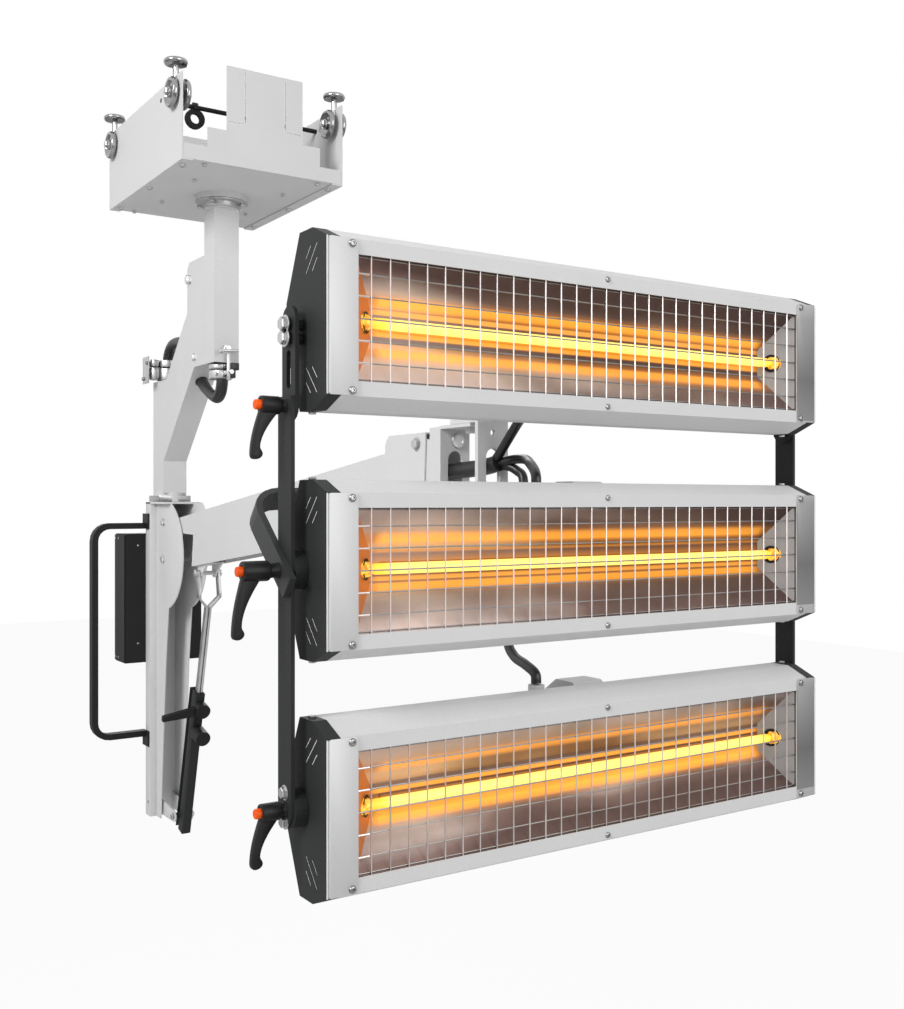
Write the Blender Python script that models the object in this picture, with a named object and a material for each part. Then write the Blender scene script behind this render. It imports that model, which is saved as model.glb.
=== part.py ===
"""Ceiling rail infrared paint dryer: a rail trolley, a swivelling column and offset arm, a mast with a
balanced lift arm, and a frame that carries three tilting lamp cassettes.

Metres, +Z up. The origin lies on the column's axis, at the level where the wheels run on the rail.
+X runs along the cassettes and -Y is the way the lamps shine."""
import math

import bmesh
import bpy
from mathutils import Matrix, Vector

for leftover in list(bpy.data.objects):
    bpy.data.objects.remove(leftover, do_unlink=True)

# Clearances
GAP = 0.0003
RUN = 0.0004
OVERRUN = 0.010
SINK = 0.001
WELD = 0.000001

# Trolley
TROLLEY_WIDTH = 0.370
TROLLEY_LENGTH = 0.490
SIDE_HEIGHT = 0.180
SIDE_SHEET = 0.003
SIDE_FLANGE = 0.025
PAN_SHEET = 0.003
PANEL_LOW_HEIGHT = 0.034
PANEL_MID_HALF = 0.129
PANEL_MID_HEIGHT = 0.075
PANEL_TOP_HALF = 0.087
PANEL_TOP_HEIGHT = 0.211
TAB_HALF = 0.046
TAB_HEIGHT = 0.094
SLIT_WIDTH = 0.002
DASH_LENGTH = 0.014
DASH_GAP = 0.004

# Wheels and guide rollers
AXLE_HEIGHT = 0.145
AXLE_REACH = 0.207
AXLE_RADIUS = 0.006
WHEEL_RADIUS = 0.032
WHEEL_WIDTH = 0.014
WHEEL_OFFSET = 0.008
WHEEL_RIM = 0.003
WHEEL_DISH = 0.004
WHEEL_HUB_RADIUS = 0.012
AXLE_NUT_RADIUS = 0.009
AXLE_NUT_WIDTH = 0.007
AXLE_SPACER_RADIUS = 0.0074
ROLLER_RADIUS = 0.0255
ROLLER_THICK = 0.013
ROLLER_EDGE = 0.004
ROLLER_STEM_RADIUS = 0.0065
ROLLER_SPIGOT_RADIUS = 0.0035
ROLLER_TOP_HEIGHT = 0.215
SOCKET_RADIUS = 0.0070
SOCKET_BOTTOM = 0.153
SOCKET_TOP = 0.168
NOTCH_HALF = 0.011

# Cable bar in the trolley
BAR_HEIGHT = 0.155
BAR_REACH = 0.120
BAR_RADIUS = 0.005
CABLE_RING_RADIUS = 0.0215
CABLE_RING_HOLE = 0.011
CABLE_RING_WIDTH = 0.010
CABLE_RING_X = 0.110

# Column swivel and column
FLANGE_RADIUS = 0.060
FLANGE_DROP = 0.010
COLLAR_RADIUS = 0.0405
COLLAR_HEIGHT = 0.019
SPINDLE_RADIUS = 0.025
SPINDLE_BORE = 0.016
RING_NUT_RADIUS = 0.040
RING_NUT_HEIGHT = 0.0114
COLUMN_WIDTH = 0.060
COLUMN_WALL = 0.003
COLUMN_DROP = 0.352

# Offset arm, heights measured down from the trolley's base
ARM_TOP_DROP = 0.129
ARM_CHEEK = 0.060
ARM_SHOULDER_REACH = 0.140
ARM_SHOULDER_DROP = 0.247
ARM_CHIN_REACH = 0.094
ARM_ELBOW_DROP = 0.597
ARM_SLEEVE_TOP_DROP = 0.393
ARM_BOTTOM_DROP = 0.678
ARM_SLEEVE_FRONT = 0.307
ARM_SLEEVE_BACK = 0.384
ARM_CORNER = 0.014
ARM_WALL = 0.003
CABLE_HOLE_RADIUS = 0.0155
CABLE_HOLE_REACH = 0.124
LOWER_COLLAR_RADIUS = 0.041
LOWER_COLLAR_HEIGHT = 0.022

# Cable through the column, a route chosen by hand: reach towards the mast, drop below the trolley's base
MAIN_CABLE_RADIUS = 0.0135
MAIN_CABLE_ROUTE = [
    (-0.006, 0.330), (-0.006, 0.370), (-0.006, 0.408), (-0.003, 0.432), (0.009, 0.451), (0.031, 0.460),
    (0.056, 0.458), (0.086, 0.444), (0.124, 0.4113), (0.168, 0.3673), (0.2142, 0.3212), (0.242, 0.304),
    (0.284, 0.298), (0.326, 0.302), (0.351, 0.321), (0.360, 0.350), (0.360, 0.392), (0.360, 0.432),
    (0.353, 0.520), (0.346, 0.600)]

# Cable clamps
CLAMP_HALF = 0.022
CLAMP_BORE_GAP = 0.002
FRONT_CLAMP_REACH = -0.006
FRONT_BAND = 0.016
CLAMP_GROOVE = 0.003
CLAMP_GROOVE_DEPTH = 0.004
FRONT_BAND_LEFT = 0.039
FRONT_BAND_RIGHT = 0.020
FRONT_EAR_LEFT = 0.013
FRONT_EAR_FRONT = 0.062
FRONT_EAR_TOP_DROP = 0.363
FRONT_EAR_BOTTOM_DROP = 0.425
REAR_CLAMP_REACH = 0.360
REAR_BAND = 0.024
REAR_BAND_LEFT = 0.050
REAR_EAR_SHEET = 0.004
REAR_EAR_TOP_DROP = 0.331
REAR_EAR_BOTTOM_DROP = 0.399
CLAMP_SCREW_RADIUS = 0.0075
CLAMP_SCREW_HEIGHT = 0.005

# Mast, heights measured down from the trolley's base
MAST_TOP_DROP = 0.7005
MAST_PLATE = 0.005
MAST_BOTTOM_DROP = 1.503
MAST_WIDTH = 0.096
MAST_WEB_BACK = 0.390
MAST_FLANGE_FRONT = 0.356
MAST_SHEET = 0.003
MAST_AXIS_REACH = 0.3455
MAST_SPINDLE_RADIUS = 0.020
MAST_SPINDLE_RISE = 0.060
MAST_SPINDLE_BORE = 0.012
CHEEK_INNER_HALF = 0.0285
CHEEK_SHEET = 0.003
CHEEK_TOP_REACH = 0.250
RIGHT_CHEEK_TOP_REACH = 0.196
RIGHT_CHEEK_SHOULDER_REACH = 0.173
RIGHT_CHEEK_SHOULDER_DROP = 0.735
CHEEK_NOSE_REACH = 0.167
CHEEK_NOSE_TOP_DROP = 0.765
CHEEK_NOSE_DROP = 0.780
CHEEK_ARC_REACH = 0.268
CHEEK_ARC_DROP = 0.970
CHEEK_FOOT_REACH = 0.320
PIVOT_REACH = 0.304
PIVOT_DROP = 0.751
PARALLEL_DROP = 0.094
PIVOT_PIN_RADIUS = 0.006

# Control box and grab handle
BOX_WIDTH = 0.206
BOX_DEPTH = 0.084
BOX_TOP_DROP = 0.782
BOX_HEIGHT = 0.331
BOX_BEVEL = 0.003
HANDLE_REACH = 0.188
HANDLE_TOP_DROP = 0.754
HANDLE_BOTTOM_DROP = 1.301
HANDLE_THICK = 0.015
HANDLE_DEPTH = 0.025
HANDLE_RADIUS = 0.045
HANDLE_FOOT = 0.024
HANDLE_FOOT_THICK = 0.004
HANDLE_CENTRE_REACH = 0.390
HANDLE_FOOT_FRONT = 0.360

# Lift arm, in a frame that lies along the arm
LIFT_LENGTH = 1.2136
LIFT_RISE_SHARE = 0.1191
LIFT_HALF = 0.028
LIFT_SHEET = 0.0025
LIFT_DEPTH = 0.128
LIFT_WIDE_START = 0.205
LIFT_EAR_RISE = 0.0175
LIFT_EAR_START = 0.815
LIFT_EAR_RUN = 0.017
LIFT_NOSE_REACH = 0.928
LIFT_NOSE_FOOT_REACH = 0.920
NECK_EYE_RADIUS = 0.022
NECK_HALF = 0.026
NECK_START = 0.040
NECK_LAP = 0.062
NECK_DEPTH = 0.062
LUG_REACH = 0.085
LUG_DROP = 0.869
LUG_INNER_HALF = 0.015
LUG_OUTER_HALF = 0.020
LUG_HEAD_RADIUS = 0.011
LUG_ROOT_REAR = 0.012
LUG_ROOT_FRONT = 0.052
LUG_ROOT_RISE = 0.028
LUG_PIN_RADIUS = 0.005
SADDLE_LENGTH = 0.075

# Level rod
ROD_HALF = 0.008
ROD_THICK_HALF = 0.010
ROD_EYE_RADIUS = 0.013

# Arm end bracket
BRACKET_SHEET = 0.004
BRACKET_HALF = 0.0245
BRACKET_FRONT_REACH = 0.972
BRACKET_FACE_HALF = 0.028
BRACKET_TOP_RISE = 0.0255
BRACKET_FOOT_DROP = 0.1385
BRACKET_EYE_RADIUS = 0.0132
BRACKET_NECK_REACH = 0.034
BRACKET_NECK_RISE = 0.005
BRACKET_TAIL_DROP = 0.106
EAR_LENGTH = 0.083
EAR_THICK = 0.005
SWIVEL_REACH = 1.022
SWIVEL_PIN_RADIUS = 0.006
SWIVEL_HEAD_RADIUS = 0.011
SWIVEL_HEAD_HEIGHT = 0.008
CABLE_SLOT_HALF = 0.0135
CABLE_SLOT_TOP_DROP = 0.620
CABLE_SLOT_BOTTOM_DROP = 0.700

# Yoke
SLOT_PLATE_REACH = 1.076
SLOT_PLATE_THICK = 0.008
SLOT_PLATE_HALF = 0.028
SLOT_PLATE_TOP_DROP = 0.570
SLOT_PLATE_BOTTOM_DROP = 0.715
PLATE_SLOT_HALF = 0.013
PLATE_SLOT_TOP_DROP = 0.620
PLATE_SLOT_BOTTOM_DROP = 0.682
FLANGE_REAR_REACH = 1.000
PLATE_HOLE_RADIUS = 0.005
PLATE_HOLE_DROP = 0.596
YOKE_ANGLE = math.radians(49.5)
YOKE_RADIUS = 0.128
YOKE_BAR_WIDTH = 0.030
YOKE_BAR_THICK = 0.008
YOKE_BEND = 0.045
YOKE_TAIL = 0.030
YOKE_FOOT_THICK = 0.008
YOKE_FOOT_DROP = 0.693

# Frame posts and links
POST_THICK = 0.005
POST_WIDTH = 0.035
POST_TOP_DROP = 0.579
POST_TAIL = 0.0175
LEFT_SPACER = 0.016
RIGHT_SPACER = 0.010
SPACER_RADIUS = 0.0225
PIN_HEAD_RADIUS = 0.009
PIN_HEAD_THICK = 0.0055
PIN_RADIUS = 0.004
PIN_SINK = 0.007
LINK_THICK = 0.005
LINK_WIDTH = 0.035
LINK_TOP_DROP = 0.473
LINK_BOTTOM_DROP = 0.608
LINK_SLOT_HALF = 0.0055
LINK_SLOT_TOP_DROP = 0.525
LINK_SLOT_BOTTOM_DROP = 0.570
LINK_BOLT_DROPS = (0.495, 0.511)
LINK_BOLT_RADIUS = 0.0065
LINK_STUB = 0.004

# Lamp cassettes
HEAD_DROPS = {"top": 0.491, "middle": 0.781, "bottom": 1.059}
LAMP_FRONT_REACH = 1.337
CASSETTE_HALF = 0.417
CAP_WIDTH = 0.018
CAP_WALL = 0.0025
FRONT_HALF = 0.090
BODY_HALF = 0.105
CHAMFER_DEPTH = 0.035
FLAT_DEPTH = 0.069
BODY_DEPTH = 0.105
BACK_HALF = 0.027
SHEET = 0.0015
WINDOW_HALF_LENGTH = 0.377
WINDOW_HALF_HEIGHT = 0.0725
PIVOT_DEPTH = 0.066
TOP_PIVOT_DROP = 0.590
GRILLE_LAND = 0.003
GRILLE_WIRE = 0.0022
GRILLE_FRONT = 0.0018
GRILLE_BACK = 0.0038
GRILLE_COLUMNS = 15
GRILLE_ROWS = 6
TROUGH_SHEET = 0.0015
TROUGH_START = 0.0041
TROUGH_DEPTH = 0.071
TROUGH_FRONT_HALF = 0.072
TROUGH_BACK_HALF = 0.017
LAMP_RADIUS = 0.0065
LAMP_DEPTH = 0.033
LAMP_HALF = 0.345
HOLDER_START = 0.341
HOLDER_HALF = 0.012
CAP_BOSS_RADIUS = 0.010
CAP_BOSS_LENGTH = 0.013
VENT_LONG = 0.042
VENT_SHORT = 0.019
VENT_WIDTH = 0.002
VENT_PITCH = 0.0082
VENT_LEAN = math.radians(42)
VENT_HEIGHT = 0.070
VENT_DEPTH = 0.039
GLAND_X = -0.036
GLAND_OFFSET = 0.042
GLAND_HALF = 0.012
GLAND_ROOT = 0.016
GLAND_LOW = 0.040
GLAND_BLOCK_TOP = 0.078
GLAND_RADIUS = 0.0115
GLAND_TOP = 0.104
TOP_GLAND_END = 0.080
TOP_GLAND_BLOCK = 0.062
COVER_LOW_X = 0.002
COVER_HIGH_X = 0.054
COVER_PROFILE = [(0.004, 0.1036), (0.010, 0.108), (0.046, 0.108), (0.084, 0.082), (0.084, 0.040), (0.038, 0.028),
                 (0.030, 0.040)]

# Clamp levers
STUD_GAP = 0.0004
BUTTON_RADIUS = 0.0060
BUTTON_PROUD = 0.007
BUTTON_TRAVEL = 0.003
BUTTON_SINK = 0.006
LEVER_THICK = 0.012
LEVER_HEAD = 0.022
LEVER_WAIST_SHARE = 0.72
LEVER_FOOT = 0.0107
LEVER_HOOK = 0.004
SMALL_LEVER = {"barrel": 0.0243, "collar": 0.006, "length": 0.062, "radius": 0.010}
LARGE_LEVER = {"barrel": 0.0328, "collar": 0.0116, "length": 0.075, "radius": 0.01075}

# Strut between lift arm and mast foot
STRUT_FOOT_REACH = 0.255
STRUT_FOOT_DROP = 1.482
STRUT_REAR = 0.010
STRUT_FRONT = 0.036
CHANNEL_HALF = 0.018
CHANNEL_WALL = 0.003
CHANNEL_TOP = 0.341
CHANNEL_TAIL = 0.032
FORK_LEG = 0.006
FORK_EYE_OUTER = 0.028
FORK_EYE_RADIUS = 0.009
FORK_OUTER = 0.0146
FORK_REAR = 0.015
FORK_FRONT = 0.031
FORK_KINK = 0.058
FORK_BEND = 0.022
FORK_LOW = 0.150
FORK_TIE = 0.024
FORK_HEAD_RADIUS = 0.0085
FORK_HEAD_THICK = 0.005
FOOT_HALF = 0.0235
FOOT_SHEET = 0.004
FOOT_RADIUS = 0.014
FOOT_PIN_RADIUS = 0.005
KNOB_AT = 0.243
KNOB_RADIUS = 0.018
KNOB_LENGTH = 0.043
KNOB_STUD_RADIUS = 0.004
STRUT_LEVER_AT = 0.306
STRUT_LEVER_LENGTH = 0.095
STRUT_LEVER_FALL = 0.013
STRUT_LEVER_HUB_RADIUS = 0.018
STRUT_LEVER_HUB = 0.026
STRUT_LEVER_TIP_HALF = 0.006
STRUT_LEVER_DEPTH = 0.012

# Cassette cables, routes chosen by hand: X, reach in front of the column axis, drop below the trolley
BRANCH_RADIUS = 0.0072
TRUNK_RADIUS = 0.0130
TRUNK_ROUTE = [
    (0.000, 0.880, 0.664), (0.000, 0.930, 0.663), (0.000, 0.972, 0.662), (0.000, 1.020, 0.658),
    (0.000, 1.050, 0.654), (0.000, 1.0655, 0.652)]
TOP_ROUTE = [
    (0.000, 1.090, 0.633), (-0.003, 1.120, 0.618), (-0.008, 1.150, 0.601), (-0.018, 1.182, 0.594),
    (-0.030, 1.212, 0.592), (-0.036, 1.228, 0.584), (-0.036, 1.229, 0.5725)]
MIDDLE_ROUTE = [
    (-0.003, 1.090, 0.669), (-0.012, 1.128, 0.660), (-0.022, 1.166, 0.652), (-0.031, 1.203, 0.652),
    (-0.036, 1.226, 0.662), (-0.036, 1.229, 0.6765)]
BOTTOM_ROUTE = [
    (0.003, 1.090, 0.651), (0.020, 1.110, 0.646), (0.040, 1.121, 0.656), (0.050, 1.127, 0.690),
    (0.040, 1.132, 0.750), (0.000, 1.142, 0.820), (-0.038, 1.158, 0.872), (-0.048, 1.186, 0.908),
    (-0.041, 1.218, 0.922), (-0.036, 1.229, 0.936), (-0.036, 1.229, 0.9535)]

# Facet counts
ROUND_SIDES = 24
SMALL_SIDES = 16
TUBE_SIDES_SHARE = 2

# Places that follow from the sizes above
BASE_Z = WHEEL_RADIUS - AXLE_HEIGHT
FLOOR_LOW = BASE_Z + SIDE_SHEET + GAP
FLOOR_HIGH = FLOOR_LOW + PAN_SHEET
FLANGE_BOTTOM = BASE_Z - FLANGE_DROP
COLUMN_TOP = FLANGE_BOTTOM - GAP - COLLAR_HEIGHT
COLUMN_BOTTOM = COLUMN_TOP - COLUMN_DROP
COLUMN_HALF = COLUMN_WIDTH / 2


def below(drop):
    """Height of something that hangs this far below the trolley's base."""
    return BASE_Z - drop


LIFT_PIVOT = Vector((0.0, PIVOT_REACH, below(PIVOT_DROP)))
LIFT_SLOPE = math.asin(LIFT_RISE_SHARE)
LIFT_TIP = LIFT_PIVOT + Vector((0.0, -LIFT_LENGTH * math.cos(LIFT_SLOPE), LIFT_LENGTH * LIFT_RISE_SHARE))
AXIS_Y = -LAMP_FRONT_REACH + PIVOT_DEPTH
MIDDLE_Z = below(HEAD_DROPS["middle"])
TOP_PIVOT_Z = below(TOP_PIVOT_DROP)
LEFT_POST_OUTER = -(CASSETTE_HALF + LEFT_SPACER + POST_THICK)
RIGHT_POST_INNER = CASSETTE_HALF + RIGHT_SPACER
RIGHT_POST_OUTER = RIGHT_POST_INNER + POST_THICK

# Finishes


def finish(name, colour, roughness, metallic=0.0):
    """A plain Principled material."""
    material = bpy.data.materials.new(name)
    material.use_nodes = True
    shader = material.node_tree.nodes["Principled BSDF"]
    shader.inputs["Base Color"].default_value = (*colour, 1.0)
    shader.inputs["Roughness"].default_value = roughness
    shader.inputs["Metallic"].default_value = metallic
    return material


def light_coat():
    return finish("light_grey_powder", (0.72, 0.72, 0.71), 0.55)


def dark_coat():
    return finish("dark_grey_powder", (0.035, 0.038, 0.037), 0.55)


def black_moulding():
    return finish("black_moulding", (0.02, 0.02, 0.02), 0.45)


def orange_moulding():
    return finish("orange_moulding", (0.85, 0.10, 0.01), 0.4)


def bright_steel():
    return finish("bright_steel", (0.75, 0.75, 0.76), 0.25, 1.0)


def zinc_steel():
    return finish("zinc_steel", (0.62, 0.62, 0.62), 0.4, 1.0)


def gold_reflector():
    return finish("reflector", (0.80, 0.55, 0.42), 0.25, 1.0)


def lit_quartz():
    return finish("lit_quartz", (1.0, 0.75, 0.25), 0.3)


def cable_sheath():
    return finish("cable_sheath", (0.015, 0.015, 0.015), 0.5)


# Shapes

AXES = {"X": (1, 2, 0), "Y": (2, 0, 1), "Z": (0, 1, 2)}


def place(axis, first, second, along):
    """A point from its two coordinates across an axis and the one along it."""
    order = AXES[axis]
    spot = [0.0, 0.0, 0.0]
    spot[order[0]] = first
    spot[order[1]] = second
    spot[order[2]] = along
    return Vector(spot)


def prism(axis, outline, low, high):
    """An outline pushed along an axis from low to high. Across X it is (y, z), across Y (z, x), across Z (x, y)."""
    solid = bmesh.new()
    corners = [solid.verts.new(place(axis, first, second, low)) for first, second in outline]
    face = solid.faces.new(corners)
    grown = bmesh.ops.extrude_face_region(solid, geom=[face])
    moved = [item for item in grown["geom"] if isinstance(item, bmesh.types.BMVert)]
    bmesh.ops.translate(solid, verts=moved, vec=place(axis, 0.0, 0.0, high - low))
    bmesh.ops.recalc_face_normals(solid, faces=solid.faces)
    return solid


def block(low, high):
    """A box between two corners."""
    outline = [(low[0], low[1]), (high[0], low[1]), (high[0], high[1]), (low[0], high[1])]
    return prism("Z", outline, low[2], high[2])


def circle(first, second, radius, sides):
    """The points of a circle about a centre."""
    turn = 2 * math.pi / sides
    return [(first + radius * math.cos(turn * (step + 0.5)), second + radius * math.sin(turn * (step + 0.5)))
            for step in range(sides)]


def rod(axis, centre, radius, low, high, sides=SMALL_SIDES):
    """A round bar along an axis, about a centre given across that axis."""
    return prism(axis, circle(centre[0], centre[1], radius, sides), low, high)


def slanted_rod(start, end, radius, sides=SMALL_SIDES):
    """A round bar between any two points."""
    solid = bmesh.new()
    run = end - start
    turn = run.to_track_quat("Z", "Y").to_matrix().to_4x4()
    middle = Matrix.Translation((start + end) / 2)
    bmesh.ops.create_cone(solid, cap_ends=True, segments=sides, radius1=radius, radius2=radius,
                          depth=run.length, matrix=middle @ turn)
    return solid


def turned(axis, centre, profile, sides=ROUND_SIDES):
    """A turned piece: (along, radius) points spun about an axis, closed at both ends."""
    solid = bmesh.new()
    direction = place(axis, 0.0, 0.0, 1.0)
    middle = place(axis, centre[0], centre[1], 0.0)
    points = [solid.verts.new(place(axis, centre[0] + radius, centre[1], along)) for along, radius in profile]
    edges = [solid.edges.new(pair) for pair in zip(points, points[1:])]
    bmesh.ops.spin(solid, geom=points + edges, cent=middle, axis=direction, angle=2 * math.pi,
                   steps=sides, use_merge=True)
    bmesh.ops.remove_doubles(solid, verts=solid.verts, dist=WELD)
    bmesh.ops.recalc_face_normals(solid, faces=solid.faces)
    return solid


def stadium(first, second, half_width, half_length, sides):
    """A slot outline with round ends, long in its second direction."""
    turn = math.pi / (sides - 1)
    reach = half_length - half_width
    upper = [(first + half_width * math.cos(turn * step), second + reach + half_width * math.sin(turn * step))
             for step in range(sides)]
    lower = [(first - half_width * math.cos(turn * step), second - reach - half_width * math.sin(turn * step))
             for step in range(sides)]
    return upper + lower


def arc(first, second, radius, start, stop, steps):
    """Points along an arc, both ends included."""
    span = (stop - start) / steps
    return [(first + radius * math.cos(start + span * step), second + radius * math.sin(start + span * step))
            for step in range(steps + 1)]


def inset(outline, wall):
    """The outline moved inwards by a wall, for outlines that run anticlockwise or clockwise."""
    count = len(outline)
    area = sum(outline[i][0] * outline[(i + 1) % count][1] - outline[(i + 1) % count][0] * outline[i][1]
               for i in range(count))
    side = wall if area > 0 else -wall
    points = []
    for i in range(count):
        before = Vector(outline[i]) - Vector(outline[i - 1])
        after = Vector(outline[(i + 1) % count]) - Vector(outline[i])
        normal_before = Vector((-before.y, before.x)).normalized()
        normal_after = Vector((-after.y, after.x)).normalized()
        middle = normal_before + normal_after
        middle = middle / middle.dot(normal_before)
        points.append((outline[i][0] + middle.x * side, outline[i][1] + middle.y * side))
    return points


def turned_about(solid, centre, axis, angle):
    """The solid turned about a point."""
    bmesh.ops.rotate(solid, verts=solid.verts, cent=centre, matrix=Matrix.Rotation(angle, 3, axis))
    return solid


def keep(name, solid, material):
    """An object that holds a solid."""
    mesh = bpy.data.meshes.new(name)
    solid.to_mesh(mesh)
    solid.free()
    holder = bpy.data.objects.new(name, mesh)
    bpy.context.scene.collection.objects.link(holder)
    if material is not None:
        mesh.materials.append(material)
    return holder


def merged(solids):
    """Several separate solids held as one."""
    whole = bmesh.new()
    for solid in solids:
        passing = bpy.data.meshes.new("passing")
        solid.to_mesh(passing)
        solid.free()
        whole.from_mesh(passing)
        bpy.data.meshes.remove(passing)
    return whole


def node(name, pieces, holes=(), material=None, pivot=None, later=(), last_holes=()):
    """One named piece: the first solid, with the others added, the holes cut, then what comes later
    added and the last holes cut. Its origin lies on its joint's axis."""
    spot = Vector(pivot) if pivot is not None else Vector((0.0, 0.0, 0.0))
    bmesh.ops.translate(pieces[0], verts=pieces[0].verts, vec=-spot)
    holder = keep(name, pieces[0], material)
    holder.location = spot
    tools = [("UNION", "add", extra) for extra in pieces[1:]]
    tools += [("DIFFERENCE", "cut", hole) for hole in holes]
    tools += [("UNION", "add", extra) for extra in later]
    tools += [("DIFFERENCE", "cut", hole) for hole in last_holes]
    for number, (operation, word, shape) in enumerate(tools):
        tool = keep(f"{word}_{number}_{name}", shape, None)
        tool.hide_render = True
        tool.display_type = "WIRE"
        change = holder.modifiers.new(f"{word}_{number}", "BOOLEAN")
        change.operation = operation
        change.solver = "EXACT"
        change.object = tool
    holder.data.shade_smooth()
    holder.data.set_sharp_from_angle(angle=math.radians(35))
    return holder


def smooth_route(points, steps):
    """Points read from a smooth curve through hand-set points."""
    spots = [Vector(point) for point in points]
    first = spots[0] * 2 - spots[1]
    last = spots[-1] * 2 - spots[-2]
    padded = [first] + spots + [last]
    route = []
    for i in range(len(spots) - 1):
        a, b, c, d = padded[i:i + 4]
        for step in range(steps):
            t = step / steps
            route.append(0.5 * ((2 * b) + (c - a) * t + (2 * a - 5 * b + 4 * c - d) * t ** 2
                                + (3 * b - a - 3 * c + d) * t ** 3))
    route.append(spots[-1])
    return route


def cable(name, points, radius, steps):
    """A cable: a bevelled poly curve along a smooth route."""
    route = smooth_route(points, steps)
    curve = bpy.data.curves.new(name, "CURVE")
    curve.dimensions = "3D"
    curve.bevel_depth = radius
    curve.bevel_resolution = TUBE_SIDES_SHARE
    curve.use_fill_caps = True
    line = curve.splines.new("POLY")
    line.points.add(len(route) - 1)
    for knot, spot in zip(line.points, route):
        knot.co = (*spot, 1.0)
    curve.materials.append(cable_sheath())
    holder = bpy.data.objects.new(name, curve)
    bpy.context.scene.collection.objects.link(holder)
    return holder


def from_drops(route):
    """World points from a route given as X, reach in front and drop."""
    return [(x, -reach, below(drop)) for x, reach, drop in route]


# Trolley


def build_trolley_pan():
    """Folded pan with two stepped end panels, and the fixed flange of the column swivel under it."""
    half_width = TROLLEY_WIDTH / 2 - SIDE_SHEET - GAP
    half_length = TROLLEY_LENGTH / 2
    floor = block((-half_width, -half_length, FLOOR_LOW), (half_width, half_length, FLOOR_HIGH))
    rise = [0.0, PANEL_LOW_HEIGHT, PANEL_MID_HEIGHT, PANEL_TOP_HEIGHT]
    panel = [(FLOOR_LOW, half_width), (BASE_Z + rise[1], half_width), (BASE_Z + rise[1], PANEL_MID_HALF),
             (BASE_Z + rise[2], PANEL_MID_HALF), (BASE_Z + rise[2], PANEL_TOP_HALF),
             (BASE_Z + rise[3], PANEL_TOP_HALF)]
    panel = panel + [(height, -across) for height, across in reversed(panel)]
    front = prism("Y", panel, -half_length, -half_length + PAN_SHEET)
    back = prism("Y", panel, half_length - PAN_SHEET, half_length)
    flange = rod("Z", (0.0, 0.0), FLANGE_RADIUS, FLANGE_BOTTOM, FLOOR_LOW + PAN_SHEET / 2, ROUND_SIDES)
    bore = rod("Z", (0.0, 0.0), SPINDLE_RADIUS + RUN, FLANGE_BOTTOM - OVERRUN, FLOOR_HIGH + OVERRUN, ROUND_SIDES)
    dashes = []
    step = DASH_LENGTH + DASH_GAP
    for side in (-1, 1):
        for count in range(int((PANEL_TOP_HEIGHT - TAB_HEIGHT) / step)):
            low = BASE_Z + TAB_HEIGHT + DASH_GAP + count * step
            edge = side * TAB_HALF
            dashes.append(block((edge - SLIT_WIDTH / 2, -half_length - OVERRUN, low),
                                (edge + SLIT_WIDTH / 2, half_length + OVERRUN, low + DASH_LENGTH)))
        for count in range(int((PANEL_TOP_HALF - TAB_HALF) / step)):
            near = side * (TAB_HALF + DASH_GAP + count * step)
            far = near + side * DASH_LENGTH
            dashes.append(block((min(near, far), -half_length - OVERRUN, BASE_Z + TAB_HEIGHT - SLIT_WIDTH / 2),
                                (max(near, far), half_length + OVERRUN, BASE_Z + TAB_HEIGHT + SLIT_WIDTH / 2)))
    return node("trolley_pan", [floor, front, back, flange], [bore, merged(dashes)], light_coat())


def build_trolley_side(name, side):
    """Side plate with an inward flange under the pan, notches and sockets for the guide rollers."""
    outer = side * TROLLEY_WIDTH / 2
    inner = outer - side * SIDE_SHEET
    half_length = TROLLEY_LENGTH / 2
    low_x, high_x = min(outer, inner), max(outer, inner)
    plate = block((low_x, -half_length, BASE_Z), (high_x, half_length, BASE_Z + SIDE_HEIGHT))
    toe = outer - side * SIDE_FLANGE
    flange = block((min(inner, toe) if side > 0 else inner - SINK, -half_length, BASE_Z),
                   (inner + SINK if side > 0 else max(inner, toe), half_length, BASE_Z + SIDE_SHEET))
    middle = (outer + inner) / 2
    pieces = [plate, flange]
    holes = []
    for reach in (-AXLE_REACH, AXLE_REACH):
        pieces.append(rod("Z", (middle, reach), SOCKET_RADIUS, BASE_Z + SOCKET_BOTTOM, BASE_Z + SOCKET_TOP))
        holes.append(rod("X", (reach, BASE_Z + AXLE_HEIGHT), AXLE_RADIUS + RUN, low_x - OVERRUN, high_x + OVERRUN))
        holes.append(block((low_x - OVERRUN, reach - NOTCH_HALF, BASE_Z + SOCKET_TOP),
                           (high_x + OVERRUN, reach + NOTCH_HALF, BASE_Z + SIDE_HEIGHT + OVERRUN)))
        holes.append(rod("Z", (middle, reach), ROLLER_SPIGOT_RADIUS + RUN, BASE_Z + SOCKET_BOTTOM + SIDE_SHEET,
                         BASE_Z + SOCKET_TOP + OVERRUN))
    holes.append(rod("X", (-BAR_REACH, BASE_Z + BAR_HEIGHT), BAR_RADIUS + GAP, low_x - OVERRUN, high_x + OVERRUN))
    return node(name, pieces, holes, light_coat())


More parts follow.
